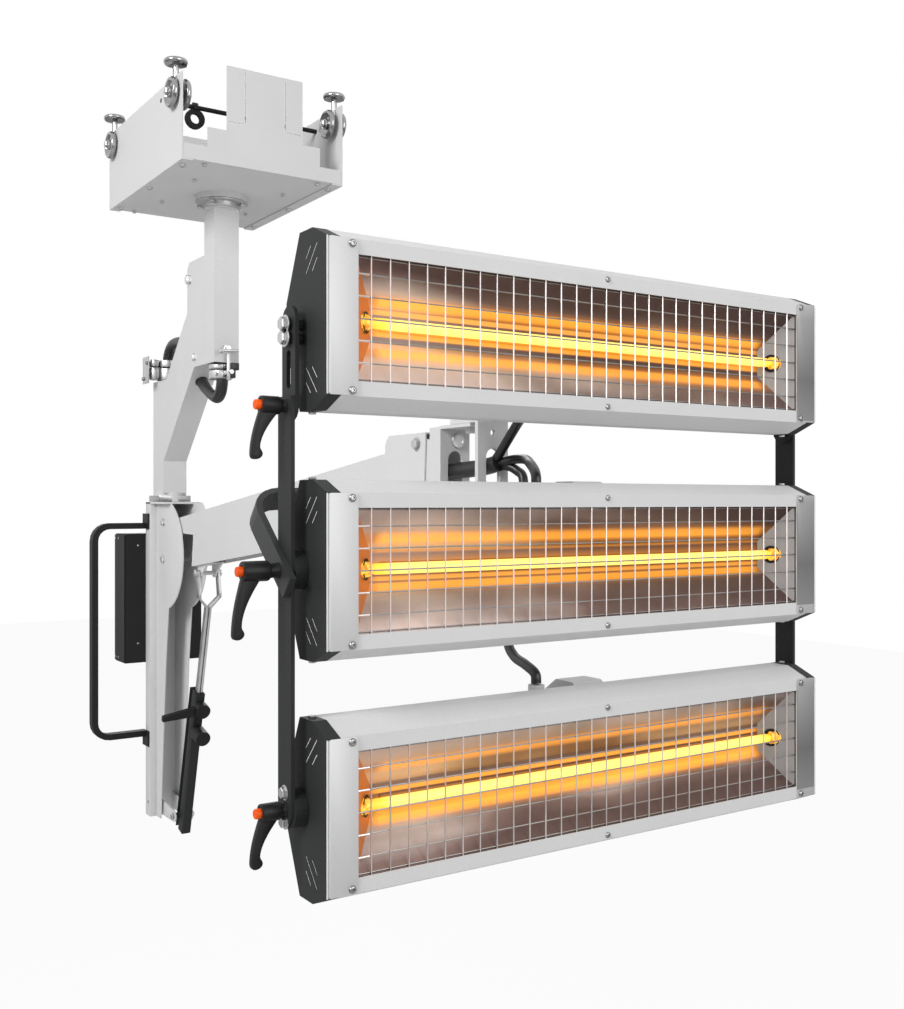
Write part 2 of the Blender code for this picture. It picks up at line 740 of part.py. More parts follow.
def build_wheelset(name, side, end):
    """Two dished wheels on one axle, one on each side of the side plate."""
    middle = side * (TROLLEY_WIDTH - SIDE_SHEET) / 2
    seat = SIDE_SHEET / 2 + GAP
    inner = WHEEL_OFFSET
    outer = WHEEL_OFFSET + WHEEL_WIDTH
    rim_inner = WHEEL_RADIUS - WHEEL_RIM
    half = [(seat, AXLE_RADIUS), (seat, AXLE_SPACER_RADIUS), (inner, AXLE_SPACER_RADIUS), (inner, rim_inner),
            (inner + WHEEL_RIM / 2, WHEEL_RADIUS), (outer - WHEEL_RIM / 2, WHEEL_RADIUS), (outer, rim_inner),
            (outer - WHEEL_DISH, WHEEL_HUB_RADIUS), (outer, AXLE_NUT_RADIUS)]
    nut = [(outer + AXLE_NUT_WIDTH, AXLE_NUT_RADIUS), (outer + AXLE_NUT_WIDTH, 0.0)]
    profile = [(-along, radius) for along, radius in reversed(half + nut)] + half + [(outer, 0.0)]
    profile = [(middle + side * along, radius) for along, radius in profile]
    centre = (end * AXLE_REACH, BASE_Z + AXLE_HEIGHT)
    solid = turned("X", centre, profile)
    return node(name, [solid], (), bright_steel(), (middle, centre[0], centre[1]))


def build_guide_roller(name, side, end):
    """Mushroom roller on an upright stem above each wheel pair."""
    middle = side * (TROLLEY_WIDTH - SIDE_SHEET) / 2
    top = BASE_Z + ROLLER_TOP_HEIGHT
    under = top - ROLLER_THICK
    seat = BASE_Z + SOCKET_TOP + GAP
    tip = BASE_Z + SOCKET_BOTTOM + SIDE_SHEET + GAP
    profile = [(top, 0.0), (top, ROLLER_RADIUS - ROLLER_EDGE), (top - ROLLER_EDGE, ROLLER_RADIUS),
               (under + ROLLER_EDGE, ROLLER_RADIUS), (under, ROLLER_RADIUS - ROLLER_EDGE),
               (under, ROLLER_STEM_RADIUS), (seat, ROLLER_STEM_RADIUS), (seat, ROLLER_SPIGOT_RADIUS),
               (tip, ROLLER_SPIGOT_RADIUS), (tip, 0.0)]
    solid = turned("Z", (middle, end * AXLE_REACH), profile, SMALL_SIDES)
    return node(name, [solid], (), bright_steel(), (middle, end * AXLE_REACH, seat))


def build_cable_bar():
    """Round bar across the trolley, with a ring that hangs from it for the supply cable."""
    centre_z = BASE_Z + BAR_HEIGHT
    half = TROLLEY_WIDTH / 2
    bar = rod("X", (-BAR_REACH, centre_z), BAR_RADIUS, -half, half, SMALL_SIDES)
    ring_z = centre_z - BAR_RADIUS - CABLE_RING_RADIUS + SINK
    low = -CABLE_RING_X - CABLE_RING_WIDTH / 2
    high = low + CABLE_RING_WIDTH
    outline = circle(ring_z, -CABLE_RING_X, CABLE_RING_RADIUS, ROUND_SIDES)
    ring = prism("Y", outline, -BAR_REACH - CABLE_RING_WIDTH / 2, -BAR_REACH + CABLE_RING_WIDTH / 2)
    hole = rod("Y", (ring_z, -CABLE_RING_X), CABLE_RING_HOLE, -BAR_REACH - OVERRUN, -BAR_REACH + OVERRUN)
    boss = rod("X", (-BAR_REACH, centre_z), BAR_RADIUS * 2, low, high, SMALL_SIDES)
    return node("cable_bar", [bar, boss, ring], [hole], black_moulding())


# Column and offset arm


def build_column():
    """Square tube under a round collar, with the swivel spindle and its ring nut in the pan."""
    collar = rod("Z", (0.0, 0.0), COLLAR_RADIUS, COLUMN_TOP, FLANGE_BOTTOM - GAP, ROUND_SIDES)
    tube = block((-COLUMN_HALF, -COLUMN_HALF, COLUMN_BOTTOM), (COLUMN_HALF, COLUMN_HALF, COLUMN_TOP + SINK))
    nut_low = FLOOR_HIGH + GAP
    spindle = rod("Z", (0.0, 0.0), SPINDLE_RADIUS, COLUMN_TOP + SINK, nut_low + RING_NUT_HEIGHT, ROUND_SIDES)
    nut = rod("Z", (0.0, 0.0), RING_NUT_RADIUS, nut_low, nut_low + RING_NUT_HEIGHT, ROUND_SIDES)
    inner = COLUMN_HALF - COLUMN_WALL
    hollow = block((-inner, -inner, COLUMN_BOTTOM - OVERRUN), (inner, inner, COLUMN_TOP - COLUMN_WALL))
    bore = rod("Z", (0.0, 0.0), SPINDLE_BORE, COLUMN_TOP - OVERRUN, nut_low + RING_NUT_HEIGHT + OVERRUN)
    return node("column_tube", [tube, collar, spindle, nut], [hollow, bore], light_coat())


def offset_outline():
    """Side view of the offset arm, as (y, z), and nothing but its bends."""
    front = COLUMN_HALF + GAP
    chin = -COLUMN_BOTTOM + BASE_Z
    sleeve_start = ARM_SHOULDER_REACH + ARM_SLEEVE_TOP_DROP - ARM_SHOULDER_DROP
    drops = [(front, ARM_TOP_DROP), (ARM_SHOULDER_REACH - ARM_CORNER, ARM_TOP_DROP),
             (ARM_SHOULDER_REACH, ARM_TOP_DROP + ARM_CORNER), (ARM_SHOULDER_REACH, ARM_SHOULDER_DROP),
             (sleeve_start, ARM_SLEEVE_TOP_DROP), (ARM_SLEEVE_BACK, ARM_SLEEVE_TOP_DROP),
             (ARM_SLEEVE_BACK, ARM_BOTTOM_DROP), (ARM_SLEEVE_FRONT, ARM_BOTTOM_DROP),
             (ARM_SLEEVE_FRONT, ARM_ELBOW_DROP), (ARM_CHIN_REACH, chin), (front, chin)]
    return [(y, below(drop)) for y, drop in drops]


def build_offset_arm():
    """Dog-leg sheet box bolted to the back of the column, with an open sleeve that carries the mast."""
    outline = offset_outline()
    half = ARM_CHEEK / 2
    shell = prism("X", outline, -half, half)
    hollow = prism("X", inset(outline, ARM_WALL), -half + ARM_WALL, half - ARM_WALL)
    sleeve_start = ARM_SHOULDER_REACH + ARM_SLEEVE_TOP_DROP - ARM_SHOULDER_DROP
    mouth = block((-half + ARM_WALL, sleeve_start + ARM_WALL, below(ARM_SLEEVE_TOP_DROP + ARM_WALL * 2)),
                  (half - ARM_WALL, ARM_SLEEVE_BACK - ARM_WALL, below(ARM_SLEEVE_TOP_DROP - OVERRUN)))
    chin = BASE_Z - COLUMN_BOTTOM
    hole_drop = chin + CABLE_HOLE_REACH - ARM_CHIN_REACH
    entry = Vector((0.0, CABLE_HOLE_REACH, below(hole_drop)))
    along = Vector((0.0, OVERRUN * 2, OVERRUN * 2))
    cross = (hole_drop - ARM_SHOULDER_DROP + ARM_SHOULDER_REACH - CABLE_HOLE_REACH) / 2
    way_out = entry + Vector((0.0, cross, cross))
    cable_way = slanted_rod(entry - along, way_out + along, CABLE_HOLE_RADIUS)
    low = below(ARM_BOTTOM_DROP + LOWER_COLLAR_HEIGHT)
    collar = rod("Z", (0.0, MAST_AXIS_REACH), LOWER_COLLAR_RADIUS, low, below(ARM_BOTTOM_DROP - ARM_WALL), ROUND_SIDES)
    bore = rod("Z", (0.0, MAST_AXIS_REACH), MAST_SPINDLE_RADIUS + RUN, low - OVERRUN,
               below(ARM_BOTTOM_DROP - ARM_WALL - OVERRUN), ROUND_SIDES)
    return node("offset_arm", [shell, collar], [hollow, mouth, cable_way, bore], light_coat())


def build_front_clamp():
    """Two stacked bands that hold the cable under the column, with an ear beside the column's face."""
    top = COLUMN_BOTTOM - GAP
    middle = top - FRONT_BAND
    low = middle - CLAMP_GROOVE
    bottom = low - FRONT_BAND
    reach = FRONT_CLAMP_REACH

    def band(shrink, lower, upper):
        half = CLAMP_HALF - shrink
        outline = arc(half - FRONT_BAND_LEFT, reach, half, math.pi / 2, math.pi * 1.5, 8)
        outline += [(FRONT_BAND_RIGHT, reach - half), (FRONT_BAND_RIGHT, reach + half)]
        return prism("Z", outline, lower, upper)

    ear_top = below(FRONT_EAR_TOP_DROP)
    ear_low = below(FRONT_EAR_BOTTOM_DROP)
    face = -COLUMN_HALF - GAP
    ear = prism("X", [(-FRONT_EAR_FRONT, ear_low), (reach, ear_low), (reach, top), (face, top), (face, ear_top),
                      (-FRONT_EAR_FRONT, ear_top)], FRONT_EAR_LEFT, FRONT_BAND_RIGHT)
    screw = rod("X", ((face - FRONT_EAR_FRONT) / 2, (ear_top + top) / 2), CLAMP_SCREW_RADIUS,
                FRONT_EAR_LEFT - CLAMP_SCREW_HEIGHT, FRONT_EAR_LEFT + SINK, 6)
    bore = rod("Z", (0.0, reach), MAIN_CABLE_RADIUS + CLAMP_BORE_GAP, bottom - OVERRUN, top + OVERRUN)
    pieces = [band(0.0, bottom, low), band(CLAMP_GROOVE_DEPTH, low - SINK, middle + SINK), band(0.0, middle, top),
              ear, screw]
    return node("cable_clamp_front", pieces, [bore], zinc_steel())


def build_rear_clamp():
    """Two stacked bands that hold the cable above the sleeve, with an ear on their left."""
    bottom = below(ARM_SLEEVE_TOP_DROP) + GAP
    low = bottom + REAR_BAND
    middle = low + CLAMP_GROOVE
    top = middle + REAR_BAND
    reach = REAR_CLAMP_REACH

    def band(shrink, lower, upper):
        half = CLAMP_HALF - shrink
        outline = arc(0.0, reach, half, -math.pi / 2, math.pi / 2, 8)
        outline += [(-REAR_BAND_LEFT, reach + half), (-REAR_BAND_LEFT, reach - half)]
        return prism("Z", outline, lower, upper)

    ear = block((-REAR_BAND_LEFT - REAR_EAR_SHEET, reach - CLAMP_HALF, below(REAR_EAR_BOTTOM_DROP)),
                (-REAR_BAND_LEFT + SINK, reach + CLAMP_HALF, below(REAR_EAR_TOP_DROP)))
    screw = rod("X", (reach, (low + bottom) / 2), CLAMP_SCREW_RADIUS,
                -REAR_BAND_LEFT - REAR_EAR_SHEET - CLAMP_SCREW_HEIGHT, -REAR_BAND_LEFT, 6)
    bore = rod("Z", (0.0, reach), MAIN_CABLE_RADIUS + CLAMP_BORE_GAP, bottom - OVERRUN, top + OVERRUN)
    pieces = [band(0.0, bottom, low), band(CLAMP_GROOVE_DEPTH, low - SINK, middle + SINK), band(0.0, middle, top),
              ear, screw]
    return node("cable_clamp_rear", pieces, [bore], zinc_steel())


def build_column_cable():
    """The cable from the column, looped through the offset arm and down into its sleeve."""
    points = [(0.0, reach, below(drop)) for reach, drop in MAIN_CABLE_ROUTE]
    return cable("column_cable", points, MAIN_CABLE_RADIUS, 3)


# Mast


def cheek_outline(front_top):
    """Side view of a mast cheek, as (y, z), below the corner points of its top."""
    nose = Vector((CHEEK_NOSE_REACH, below(CHEEK_NOSE_DROP)))
    waist = Vector((CHEEK_ARC_REACH, below(CHEEK_ARC_DROP)))
    foot = Vector((CHEEK_FOOT_REACH, below(MAST_BOTTOM_DROP)))
    taper = (waist - foot) / (waist.y - foot.y)
    knee = waist + taper * (nose.y - waist.y) / 2
    steps = 8
    bow = []
    for step in range(1, steps):
        share = step / steps
        spot = nose * (1 - share) ** 2 + knee * (2 * share * (1 - share)) + waist * share ** 2
        bow.append((spot.x, spot.y))
    back = MAST_WEB_BACK - SINK
    top = below(MAST_TOP_DROP + MAST_PLATE / 2)
    return front_top + [tuple(nose)] + bow + [tuple(waist), tuple(foot), (back, foot.y), (back, top)]


def build_mast():
    """Rear channel with two cheeks, a top plate with the swivel spindle, and the strut's foot bracket."""
    top = below(MAST_TOP_DROP)
    bottom = below(MAST_BOTTOM_DROP)
    half = MAST_WIDTH / 2
    web_front = MAST_WEB_BACK - MAST_SHEET
    channel = [(-half, MAST_FLANGE_FRONT), (-half + MAST_SHEET, MAST_FLANGE_FRONT),
               (-half + MAST_SHEET, web_front), (half - MAST_SHEET, web_front),
               (half - MAST_SHEET, MAST_FLANGE_FRONT), (half, MAST_FLANGE_FRONT), (half, MAST_WEB_BACK),
               (-half, MAST_WEB_BACK)]
    back = prism("Z", channel, bottom, top)
    cheek_top = below(MAST_TOP_DROP + MAST_PLATE / 2)
    nose_top = (CHEEK_NOSE_REACH, below(CHEEK_NOSE_TOP_DROP))
    outer = CHEEK_INNER_HALF + CHEEK_SHEET
    left = prism("X", cheek_outline([(CHEEK_TOP_REACH, cheek_top), nose_top]), -outer, -CHEEK_INNER_HALF)
    shoulder = (RIGHT_CHEEK_SHOULDER_REACH, below(RIGHT_CHEEK_SHOULDER_DROP))
    right = prism("X", cheek_outline([(RIGHT_CHEEK_TOP_REACH, cheek_top), shoulder, nose_top]),
                  CHEEK_INNER_HALF, outer)
    lid = block((-half, CHEEK_TOP_REACH, top - MAST_PLATE), (half, MAST_WEB_BACK, top))
    axis = (0.0, MAST_AXIS_REACH)
    spindle = rod("Z", axis, MAST_SPINDLE_RADIUS, top - MAST_PLATE / 2, top + MAST_SPINDLE_RISE, ROUND_SIDES)
    bore = rod("Z", axis, MAST_SPINDLE_BORE, top - MAST_PLATE - OVERRUN, top + MAST_SPINDLE_RISE + OVERRUN)
    pins = [rod("X", (PIVOT_REACH, below(drop)), PIVOT_PIN_RADIUS, -outer, outer)
            for drop in (PIVOT_DROP, PIVOT_DROP + PARALLEL_DROP)]
    pins.append(rod("X", (STRUT_FOOT_REACH, below(STRUT_FOOT_DROP)), FOOT_PIN_RADIUS, -FOOT_HALF, FOOT_HALF))
    feet = []
    foot_z = below(STRUT_FOOT_DROP)
    rear = MAST_WEB_BACK - SINK
    foot_side = arc(STRUT_FOOT_REACH, foot_z, FOOT_RADIUS, math.pi / 2, math.pi * 1.5, 6)
    foot_side += [(rear, foot_z - FOOT_RADIUS), (rear, foot_z + FOOT_RADIUS * 2)]
    for side in (-1, 1):
        low_x = min(side * (FOOT_HALF - FOOT_SHEET), side * FOOT_HALF)
        feet.append(prism("X", foot_side, low_x, low_x + FOOT_SHEET))
    return node("mast", [back, left, right, lid, spindle] + pins + feet, [bore], light_coat(),
                (0.0, MAST_AXIS_REACH, top))


def build_control_box():
    """Closed control box on the back of the mast."""
    back = MAST_WEB_BACK + GAP
    box = block((-BOX_WIDTH / 2, back, below(BOX_TOP_DROP + BOX_HEIGHT)),
                (BOX_WIDTH / 2, back + BOX_DEPTH, below(BOX_TOP_DROP)))
    bmesh.ops.bevel(box, geom=list(box.edges), offset=BOX_BEVEL, segments=2, affect="EDGES")
    return node("control_box", [box], (), black_moulding())


def build_grab_handle():
    """Flat bar bent to a long C beside the mast, with a foot on the mast's flange at each end."""
    root = -MAST_WIDTH / 2 - GAP
    top = below(HANDLE_TOP_DROP)
    bottom = below(HANDLE_BOTTOM_DROP)
    centre_x = HANDLE_RADIUS - HANDLE_REACH
    inner = HANDLE_RADIUS - HANDLE_THICK
    outline = [(root, top)]
    outline += arc(centre_x, top - HANDLE_RADIUS, HANDLE_RADIUS, math.pi / 2, math.pi, 5)
    outline += arc(centre_x, bottom + HANDLE_RADIUS, HANDLE_RADIUS, math.pi, math.pi * 1.5, 5)
    outline += [(root, bottom), (root, bottom + HANDLE_THICK)]
    outline += arc(centre_x, bottom + HANDLE_RADIUS, inner, math.pi * 1.5, math.pi, 5)
    outline += arc(centre_x, top - HANDLE_RADIUS, inner, math.pi, math.pi / 2, 5)
    outline += [(root, top - HANDLE_THICK)]
    low_y = HANDLE_CENTRE_REACH - HANDLE_DEPTH / 2
    high_y = HANDLE_CENTRE_REACH + HANDLE_DEPTH / 2
    bar = prism("Y", [(z, x) for x, z in outline], low_y, high_y)
    feet = [block((root - HANDLE_FOOT_THICK, HANDLE_FOOT_FRONT, top - HANDLE_THICK), (root, high_y, top + HANDLE_FOOT)),
            block((root - HANDLE_FOOT_THICK, HANDLE_FOOT_FRONT, bottom - HANDLE_FOOT),
                  (root, high_y, bottom + HANDLE_THICK))]
    return node("grab_handle", [bar] + feet, (), black_moulding())


# Lift arm and its level rod


def along_arm(distance, rise):
    """A point in side view, from a distance along the arm and a height square to it."""
    reach = LIFT_PIVOT.y - distance * math.cos(LIFT_SLOPE) - rise * math.sin(LIFT_SLOPE)
    height = LIFT_PIVOT.z + distance * math.sin(LIFT_SLOPE) + rise * math.cos(LIFT_SLOPE)
    return (reach, height)


def edge_height(reach):
    """Height of the arm's straight top edge over a place along Y."""
    return LIFT_PIVOT.z + (LIFT_PIVOT.y - reach) * math.tan(LIFT_SLOPE)


def build_lift_arm():
    """Long channel, open below, with a neck between the mast's cheeks, an ear at its tip and the strut's lug."""
    ear_top = LIFT_TIP.z + LIFT_EAR_RISE
    rise_start = -LIFT_EAR_START + LIFT_EAR_RUN
    start_z = edge_height(rise_start)
    nose_foot = (-LIFT_NOSE_FOOT_REACH, edge_height(-LIFT_NOSE_FOOT_REACH) - LIFT_DEPTH / math.cos(LIFT_SLOPE))
    rise = []
    steps = 5
    for step in range(steps + 1):
        turn = step / steps * math.pi / 2
        rise.append((rise_start - LIFT_EAR_RUN * (1 - math.cos(turn)), start_z + (ear_top - start_z) * math.sin(turn)))
    side = [along_arm(LIFT_WIDE_START, 0.0)] + rise + [(-LIFT_NOSE_REACH, ear_top), nose_foot,
                                                      along_arm(LIFT_WIDE_START, -LIFT_DEPTH)]
    body = prism("X", side, -LIFT_HALF, LIFT_HALF)
    inner = LIFT_HALF - LIFT_SHEET
    void = [along_arm(LIFT_WIDE_START - OVERRUN, -LIFT_SHEET)]
    void += [(y - LIFT_SHEET, z - LIFT_SHEET) for y, z in rise]
    void += [(-LIFT_NOSE_REACH - OVERRUN, ear_top - LIFT_SHEET), (-LIFT_NOSE_REACH - OVERRUN, nose_foot[1] - OVERRUN),
             along_arm(LIFT_WIDE_START - OVERRUN, -LIFT_DEPTH - OVERRUN)]
    hollow = prism("X", void, -inner, inner)
    eye = [along_arm(NECK_EYE_RADIUS * math.cos(turn), NECK_EYE_RADIUS * math.sin(turn))
           for turn in [math.radians(60) + math.radians(210) * step / 9 for step in range(10)]]
    neck = eye + [along_arm(LIFT_WIDE_START + NECK_LAP, -NECK_DEPTH), along_arm(LIFT_WIDE_START + NECK_LAP, -SINK),
                  along_arm(NECK_START, -SINK)]
    sheet_inner = NECK_HALF - LIFT_SHEET
    necks = [prism("X", neck, -NECK_HALF, -sheet_inner), prism("X", neck, sheet_inner, NECK_HALF)]
    bridge = prism("X", [along_arm(NECK_START, 0.0), along_arm(LIFT_WIDE_START + SINK, 0.0),
                         along_arm(LIFT_WIDE_START + SINK, -LIFT_SHEET), along_arm(NECK_START, -LIFT_SHEET)],
                   -NECK_HALF, NECK_HALF)
    lug_z = below(LUG_DROP)
    low_arc = arc(LUG_REACH, lug_z, LUG_HEAD_RADIUS, math.pi, math.pi * 2, 6)
    lug = low_arc + [(LUG_REACH + LUG_ROOT_REAR, lug_z + LUG_ROOT_RISE), (LUG_REACH - LUG_ROOT_FRONT, lug_z + LUG_ROOT_RISE)]
    lugs = [prism("X", lug, -LUG_OUTER_HALF, -LUG_INNER_HALF), prism("X", lug, LUG_INNER_HALF, LUG_OUTER_HALF)]
    saddle = prism("X", [along_arm(LIFT_WIDE_START + SINK, -LIFT_DEPTH + LIFT_SHEET),
                         along_arm(LIFT_WIDE_START + SADDLE_LENGTH, -LIFT_DEPTH + LIFT_SHEET),
                         along_arm(LIFT_WIDE_START + SADDLE_LENGTH, -LIFT_DEPTH),
                         along_arm(LIFT_WIDE_START + SINK, -LIFT_DEPTH)], -inner - SINK, inner + SINK)
    pins = [rod("X", (LIFT_TIP.y, LIFT_TIP.z), PIVOT_PIN_RADIUS, -inner - SINK, inner + SINK),
            rod("X", (LUG_REACH, lug_z), LUG_PIN_RADIUS, -LUG_OUTER_HALF, LUG_OUTER_HALF)]
    bore = rod("X", (LIFT_PIVOT.y, LIFT_PIVOT.z), PIVOT_PIN_RADIUS + RUN, -LIFT_HALF - OVERRUN, LIFT_HALF + OVERRUN)
    return node("lift_arm", [body], [hollow], light_coat(), LIFT_PIVOT, necks + [bridge, saddle] + lugs + pins, [bore])


def build_level_rod():
    """Flat rod that runs under the lift arm's top and keeps the end bracket level."""
    start = LIFT_PIVOT - Vector((0.0, 0.0, PARALLEL_DROP))
    drop = Vector((0.0, -PARALLEL_DROP))

    def spot(distance, rise):
        y, z = along_arm(distance, rise)
        return (y + drop.x, z + drop.y)

    bar = prism("X", [spot(0.0, ROD_HALF), spot(LIFT_LENGTH, ROD_HALF), spot(LIFT_LENGTH, -ROD_HALF),
                      spot(0.0, -ROD_HALF)], -ROD_THICK_HALF, ROD_THICK_HALF)
    eye = rod("X", (start.y, start.z), ROD_EYE_RADIUS, -ROD_THICK_HALF, ROD_THICK_HALF)
    bore = rod("X", (start.y, start.z), PIVOT_PIN_RADIUS + RUN, -ROD_THICK_HALF - OVERRUN, ROD_THICK_HALF + OVERRUN)
    return node("level_rod", [bar, eye], [bore], zinc_steel(), start)


def slot_across(z_top, z_bottom, half, low, high):
    """A cutter for an upright slot with round ends, pushed along Y."""
    outline = stadium(0.0, (z_top + z_bottom) / 2, half, (z_top - z_bottom) / 2, 8)
    return prism("Y", [(z, x) for x, z in outline], low, high)


def build_arm_end():
    """Level bracket at the lift arm's tip: two side walls, a front plate with the cable's slot and a top ear."""
    front = -BRACKET_FRONT_REACH
    top = LIFT_TIP.z + BRACKET_TOP_RISE
    foot = LIFT_TIP.z - BRACKET_FOOT_DROP
    neck = LIFT_TIP.y - BRACKET_NECK_REACH
    rear = LIFT_TIP.y + BRACKET_EYE_RADIUS
    side = [(front + SINK, top - SINK), (neck, top - SINK), (neck, LIFT_TIP.z + BRACKET_NECK_RISE),
            (LIFT_TIP.y, LIFT_TIP.z + BRACKET_EYE_RADIUS), (rear, LIFT_TIP.z),
            (rear, LIFT_TIP.z - BRACKET_TAIL_DROP), (front + SINK, foot + SINK)]
    inner = BRACKET_HALF - BRACKET_SHEET
    plate = block((-BRACKET_FACE_HALF, front, foot), (BRACKET_FACE_HALF, front + BRACKET_SHEET, top))
    walls = [prism("X", side, -BRACKET_HALF, -inner), prism("X", side, inner, BRACKET_HALF)]
    ear = block((-BRACKET_FACE_HALF, front - EAR_LENGTH, top - EAR_THICK), (BRACKET_FACE_HALF, front + SINK, top))
    slot = slot_across(below(CABLE_SLOT_TOP_DROP), below(CABLE_SLOT_BOTTOM_DROP), CABLE_SLOT_HALF,
                       front - OVERRUN, front + OVERRUN)
    swivel = rod("Z", (0.0, -SWIVEL_REACH), SWIVEL_PIN_RADIUS + RUN, top - EAR_THICK - OVERRUN, top + OVERRUN)
    pivot = rod("X", (LIFT_TIP.y, LIFT_TIP.z), PIVOT_PIN_RADIUS + RUN, -LIFT_HALF, LIFT_HALF)
    return node("arm_end_bracket", [plate] + walls + [ear], [slot, swivel, pivot], light_coat(), LIFT_TIP)


# Yoke

PIVOT_CENTRE = Vector((0.0, AXIS_Y, MIDDLE_Z))
SWIVEL_POINT = (0.0, -SWIVEL_REACH, LIFT_TIP.z + BRACKET_TOP_RISE)


def build_yoke():
    """Slotted head plate with its swivel flange, and a flat bar bent to a U round the middle cassette."""
    ear_top = LIFT_TIP.z + BRACKET_TOP_RISE
    flange_low = ear_top + GAP
    plate_front = -SLOT_PLATE_REACH
    plate_back = plate_front + SLOT_PLATE_THICK
    plate = block((-SLOT_PLATE_HALF, plate_front, below(SLOT_PLATE_BOTTOM_DROP)),
                  (SLOT_PLATE_HALF, plate_back, below(SLOT_PLATE_TOP_DROP)))
    flange = block((-SLOT_PLATE_HALF, plate_front + SINK, flange_low),
                   (SLOT_PLATE_HALF, -FLANGE_REAR_REACH, flange_low + SLOT_PLATE_THICK))
    pin = rod("Z", (0.0, -SWIVEL_REACH), SWIVEL_PIN_RADIUS, ear_top - EAR_THICK - GAP - SINK, flange_low + SINK)
    bolt = rod("Z", (0.0, -SWIVEL_REACH), SWIVEL_HEAD_RADIUS, ear_top - EAR_THICK - GAP - SWIVEL_HEAD_HEIGHT,
               ear_top - EAR_THICK - GAP, 6)
    slot = slot_across(below(PLATE_SLOT_TOP_DROP), below(PLATE_SLOT_BOTTOM_DROP), PLATE_SLOT_HALF,
                       plate_front - OVERRUN, plate_back + OVERRUN)
    hole = rod("Y", (below(PLATE_HOLE_DROP), 0.0), PLATE_HOLE_RADIUS, plate_front - OVERRUN, plate_back + OVERRUN)
    left = LEFT_POST_OUTER - GAP
    right = RIGHT_POST_OUTER + GAP
    outer_left = left - YOKE_BAR_THICK
    outer_right = right + YOKE_BAR_THICK
    outer = YOKE_RADIUS + YOKE_BAR_THICK / 2
    inner = YOKE_RADIUS - YOKE_BAR_THICK / 2
    tail = -YOKE_TAIL
    small = YOKE_BEND - YOKE_BAR_THICK
    shape = [(outer_left, tail)] + [(x, s) for x, s in arc(outer_left + YOKE_BEND, outer - YOKE_BEND, YOKE_BEND,
                                                           math.pi, math.pi / 2, 6)]
    shape += arc(outer_right - YOKE_BEND, outer - YOKE_BEND, YOKE_BEND, math.pi / 2, 0.0, 6)
    shape += [(outer_right, tail), (right, tail)]
    shape += arc(right - small, inner - small, small, 0.0, math.pi / 2, 6)
    shape += arc(left + small, inner - small, small, math.pi / 2, math.pi, 6)
    shape += [(left, tail)]
    half = YOKE_BAR_WIDTH / 2
    bar = prism("Y", [(MIDDLE_Z + s, x) for x, s in shape], AXIS_Y - half, AXIS_Y + half)
    turned_about(bar, PIVOT_CENTRE, "X", -YOKE_ANGLE)
    bar_y = AXIS_Y + YOKE_RADIUS * math.sin(YOKE_ANGLE)
    foot = block((-SLOT_PLATE_HALF, bar_y, below(YOKE_FOOT_DROP) - YOKE_FOOT_THICK),
                 (SLOT_PLATE_HALF, plate_back - SINK, below(YOKE_FOOT_DROP)))
    bores = merged([rod("X", (AXIS_Y, MIDDLE_Z), PIN_RADIUS + RUN, outer_left - OVERRUN, left + OVERRUN),
                    rod("X", (AXIS_Y, MIDDLE_Z), PIN_RADIUS + RUN, right - OVERRUN, outer_right + OVERRUN)])
    return node("yoke", [bar, plate, flange, pin, bolt, foot], [slot, hole, bores], dark_coat(), SWIVEL_POINT)


# Frame posts and links


def build_post_left():
    """Left upright, with two thick spacers that carry the clamp levers' studs."""
    outer = LEFT_POST_OUTER
    inner = outer + POST_THICK
    half = POST_WIDTH / 2
    low_z = below(HEAD_DROPS["bottom"])
    outline = [(AXIS_Y - half, below(POST_TOP_DROP))] + arc(AXIS_Y, low_z, half, math.pi, math.pi * 2, 8)
    outline += [(AXIS_Y + half, below(POST_TOP_DROP))]
    plate = prism("X", outline, outer, inner)
    spacers = [rod("X", (AXIS_Y, z), SPACER_RADIUS, inner - SINK, -CASSETTE_HALF - GAP, ROUND_SIDES)
               for z in (MIDDLE_Z, low_z)]
    bores = merged([rod("X", (AXIS_Y, z), PIN_RADIUS + RUN, outer - OVERRUN, -CASSETTE_HALF + OVERRUN)
                    for z in (TOP_PIVOT_Z, MIDDLE_Z, low_z)])
    return node("post_left", [plate] + spacers, [bores], dark_coat(), PIVOT_CENTRE)


def build_post_right():
    """Right upright, with spacers and plain pivot pins."""
    inner = RIGHT_POST_INNER
    outer = RIGHT_POST_OUTER
    half = POST_WIDTH / 2
    low_z = below(HEAD_DROPS["bottom"])
    outline = [(AXIS_Y - half, below(POST_TOP_DROP))] + arc(AXIS_Y, low_z, half, math.pi, math.pi * 2, 8)
    outline += [(AXIS_Y + half, below(POST_TOP_DROP))]
    plate = prism("X", outline, inner, outer)
    pieces = [plate]
    for z in (MIDDLE_Z, low_z):
        pieces.append(rod("X", (AXIS_Y, z), SPACER_RADIUS, CASSETTE_HALF + GAP, inner + SINK, ROUND_SIDES))
        pieces.append(rod("X", (AXIS_Y, z), PIN_RADIUS, CASSETTE_HALF - PIN_SINK, inner + SINK))
    yoke_outer = outer + GAP + YOKE_BAR_THICK
    pieces.append(rod("X", (AXIS_Y, MIDDLE_Z), PIN_RADIUS, outer - SINK, yoke_outer + GAP + SINK))
    pieces.append(rod("X", (AXIS_Y, MIDDLE_Z), PIN_HEAD_RADIUS, yoke_outer + GAP, yoke_outer + GAP + PIN_HEAD_THICK))
    pieces.append(rod("X", (AXIS_Y, low_z), PIN_HEAD_RADIUS, outer - SINK, outer + PIN_HEAD_THICK))
    link_inner = inner - GAP - LINK_THICK
    pieces.append(rod("X", (AXIS_Y, TOP_PIVOT_Z), PIN_RADIUS, link_inner - SINK, outer))
    pieces.append(rod("X", (AXIS_Y, TOP_PIVOT_Z), PIN_HEAD_RADIUS, outer - SINK, outer + PIN_HEAD_THICK))
    return node("post_right", pieces, (), dark_coat(), PIVOT_CENTRE)


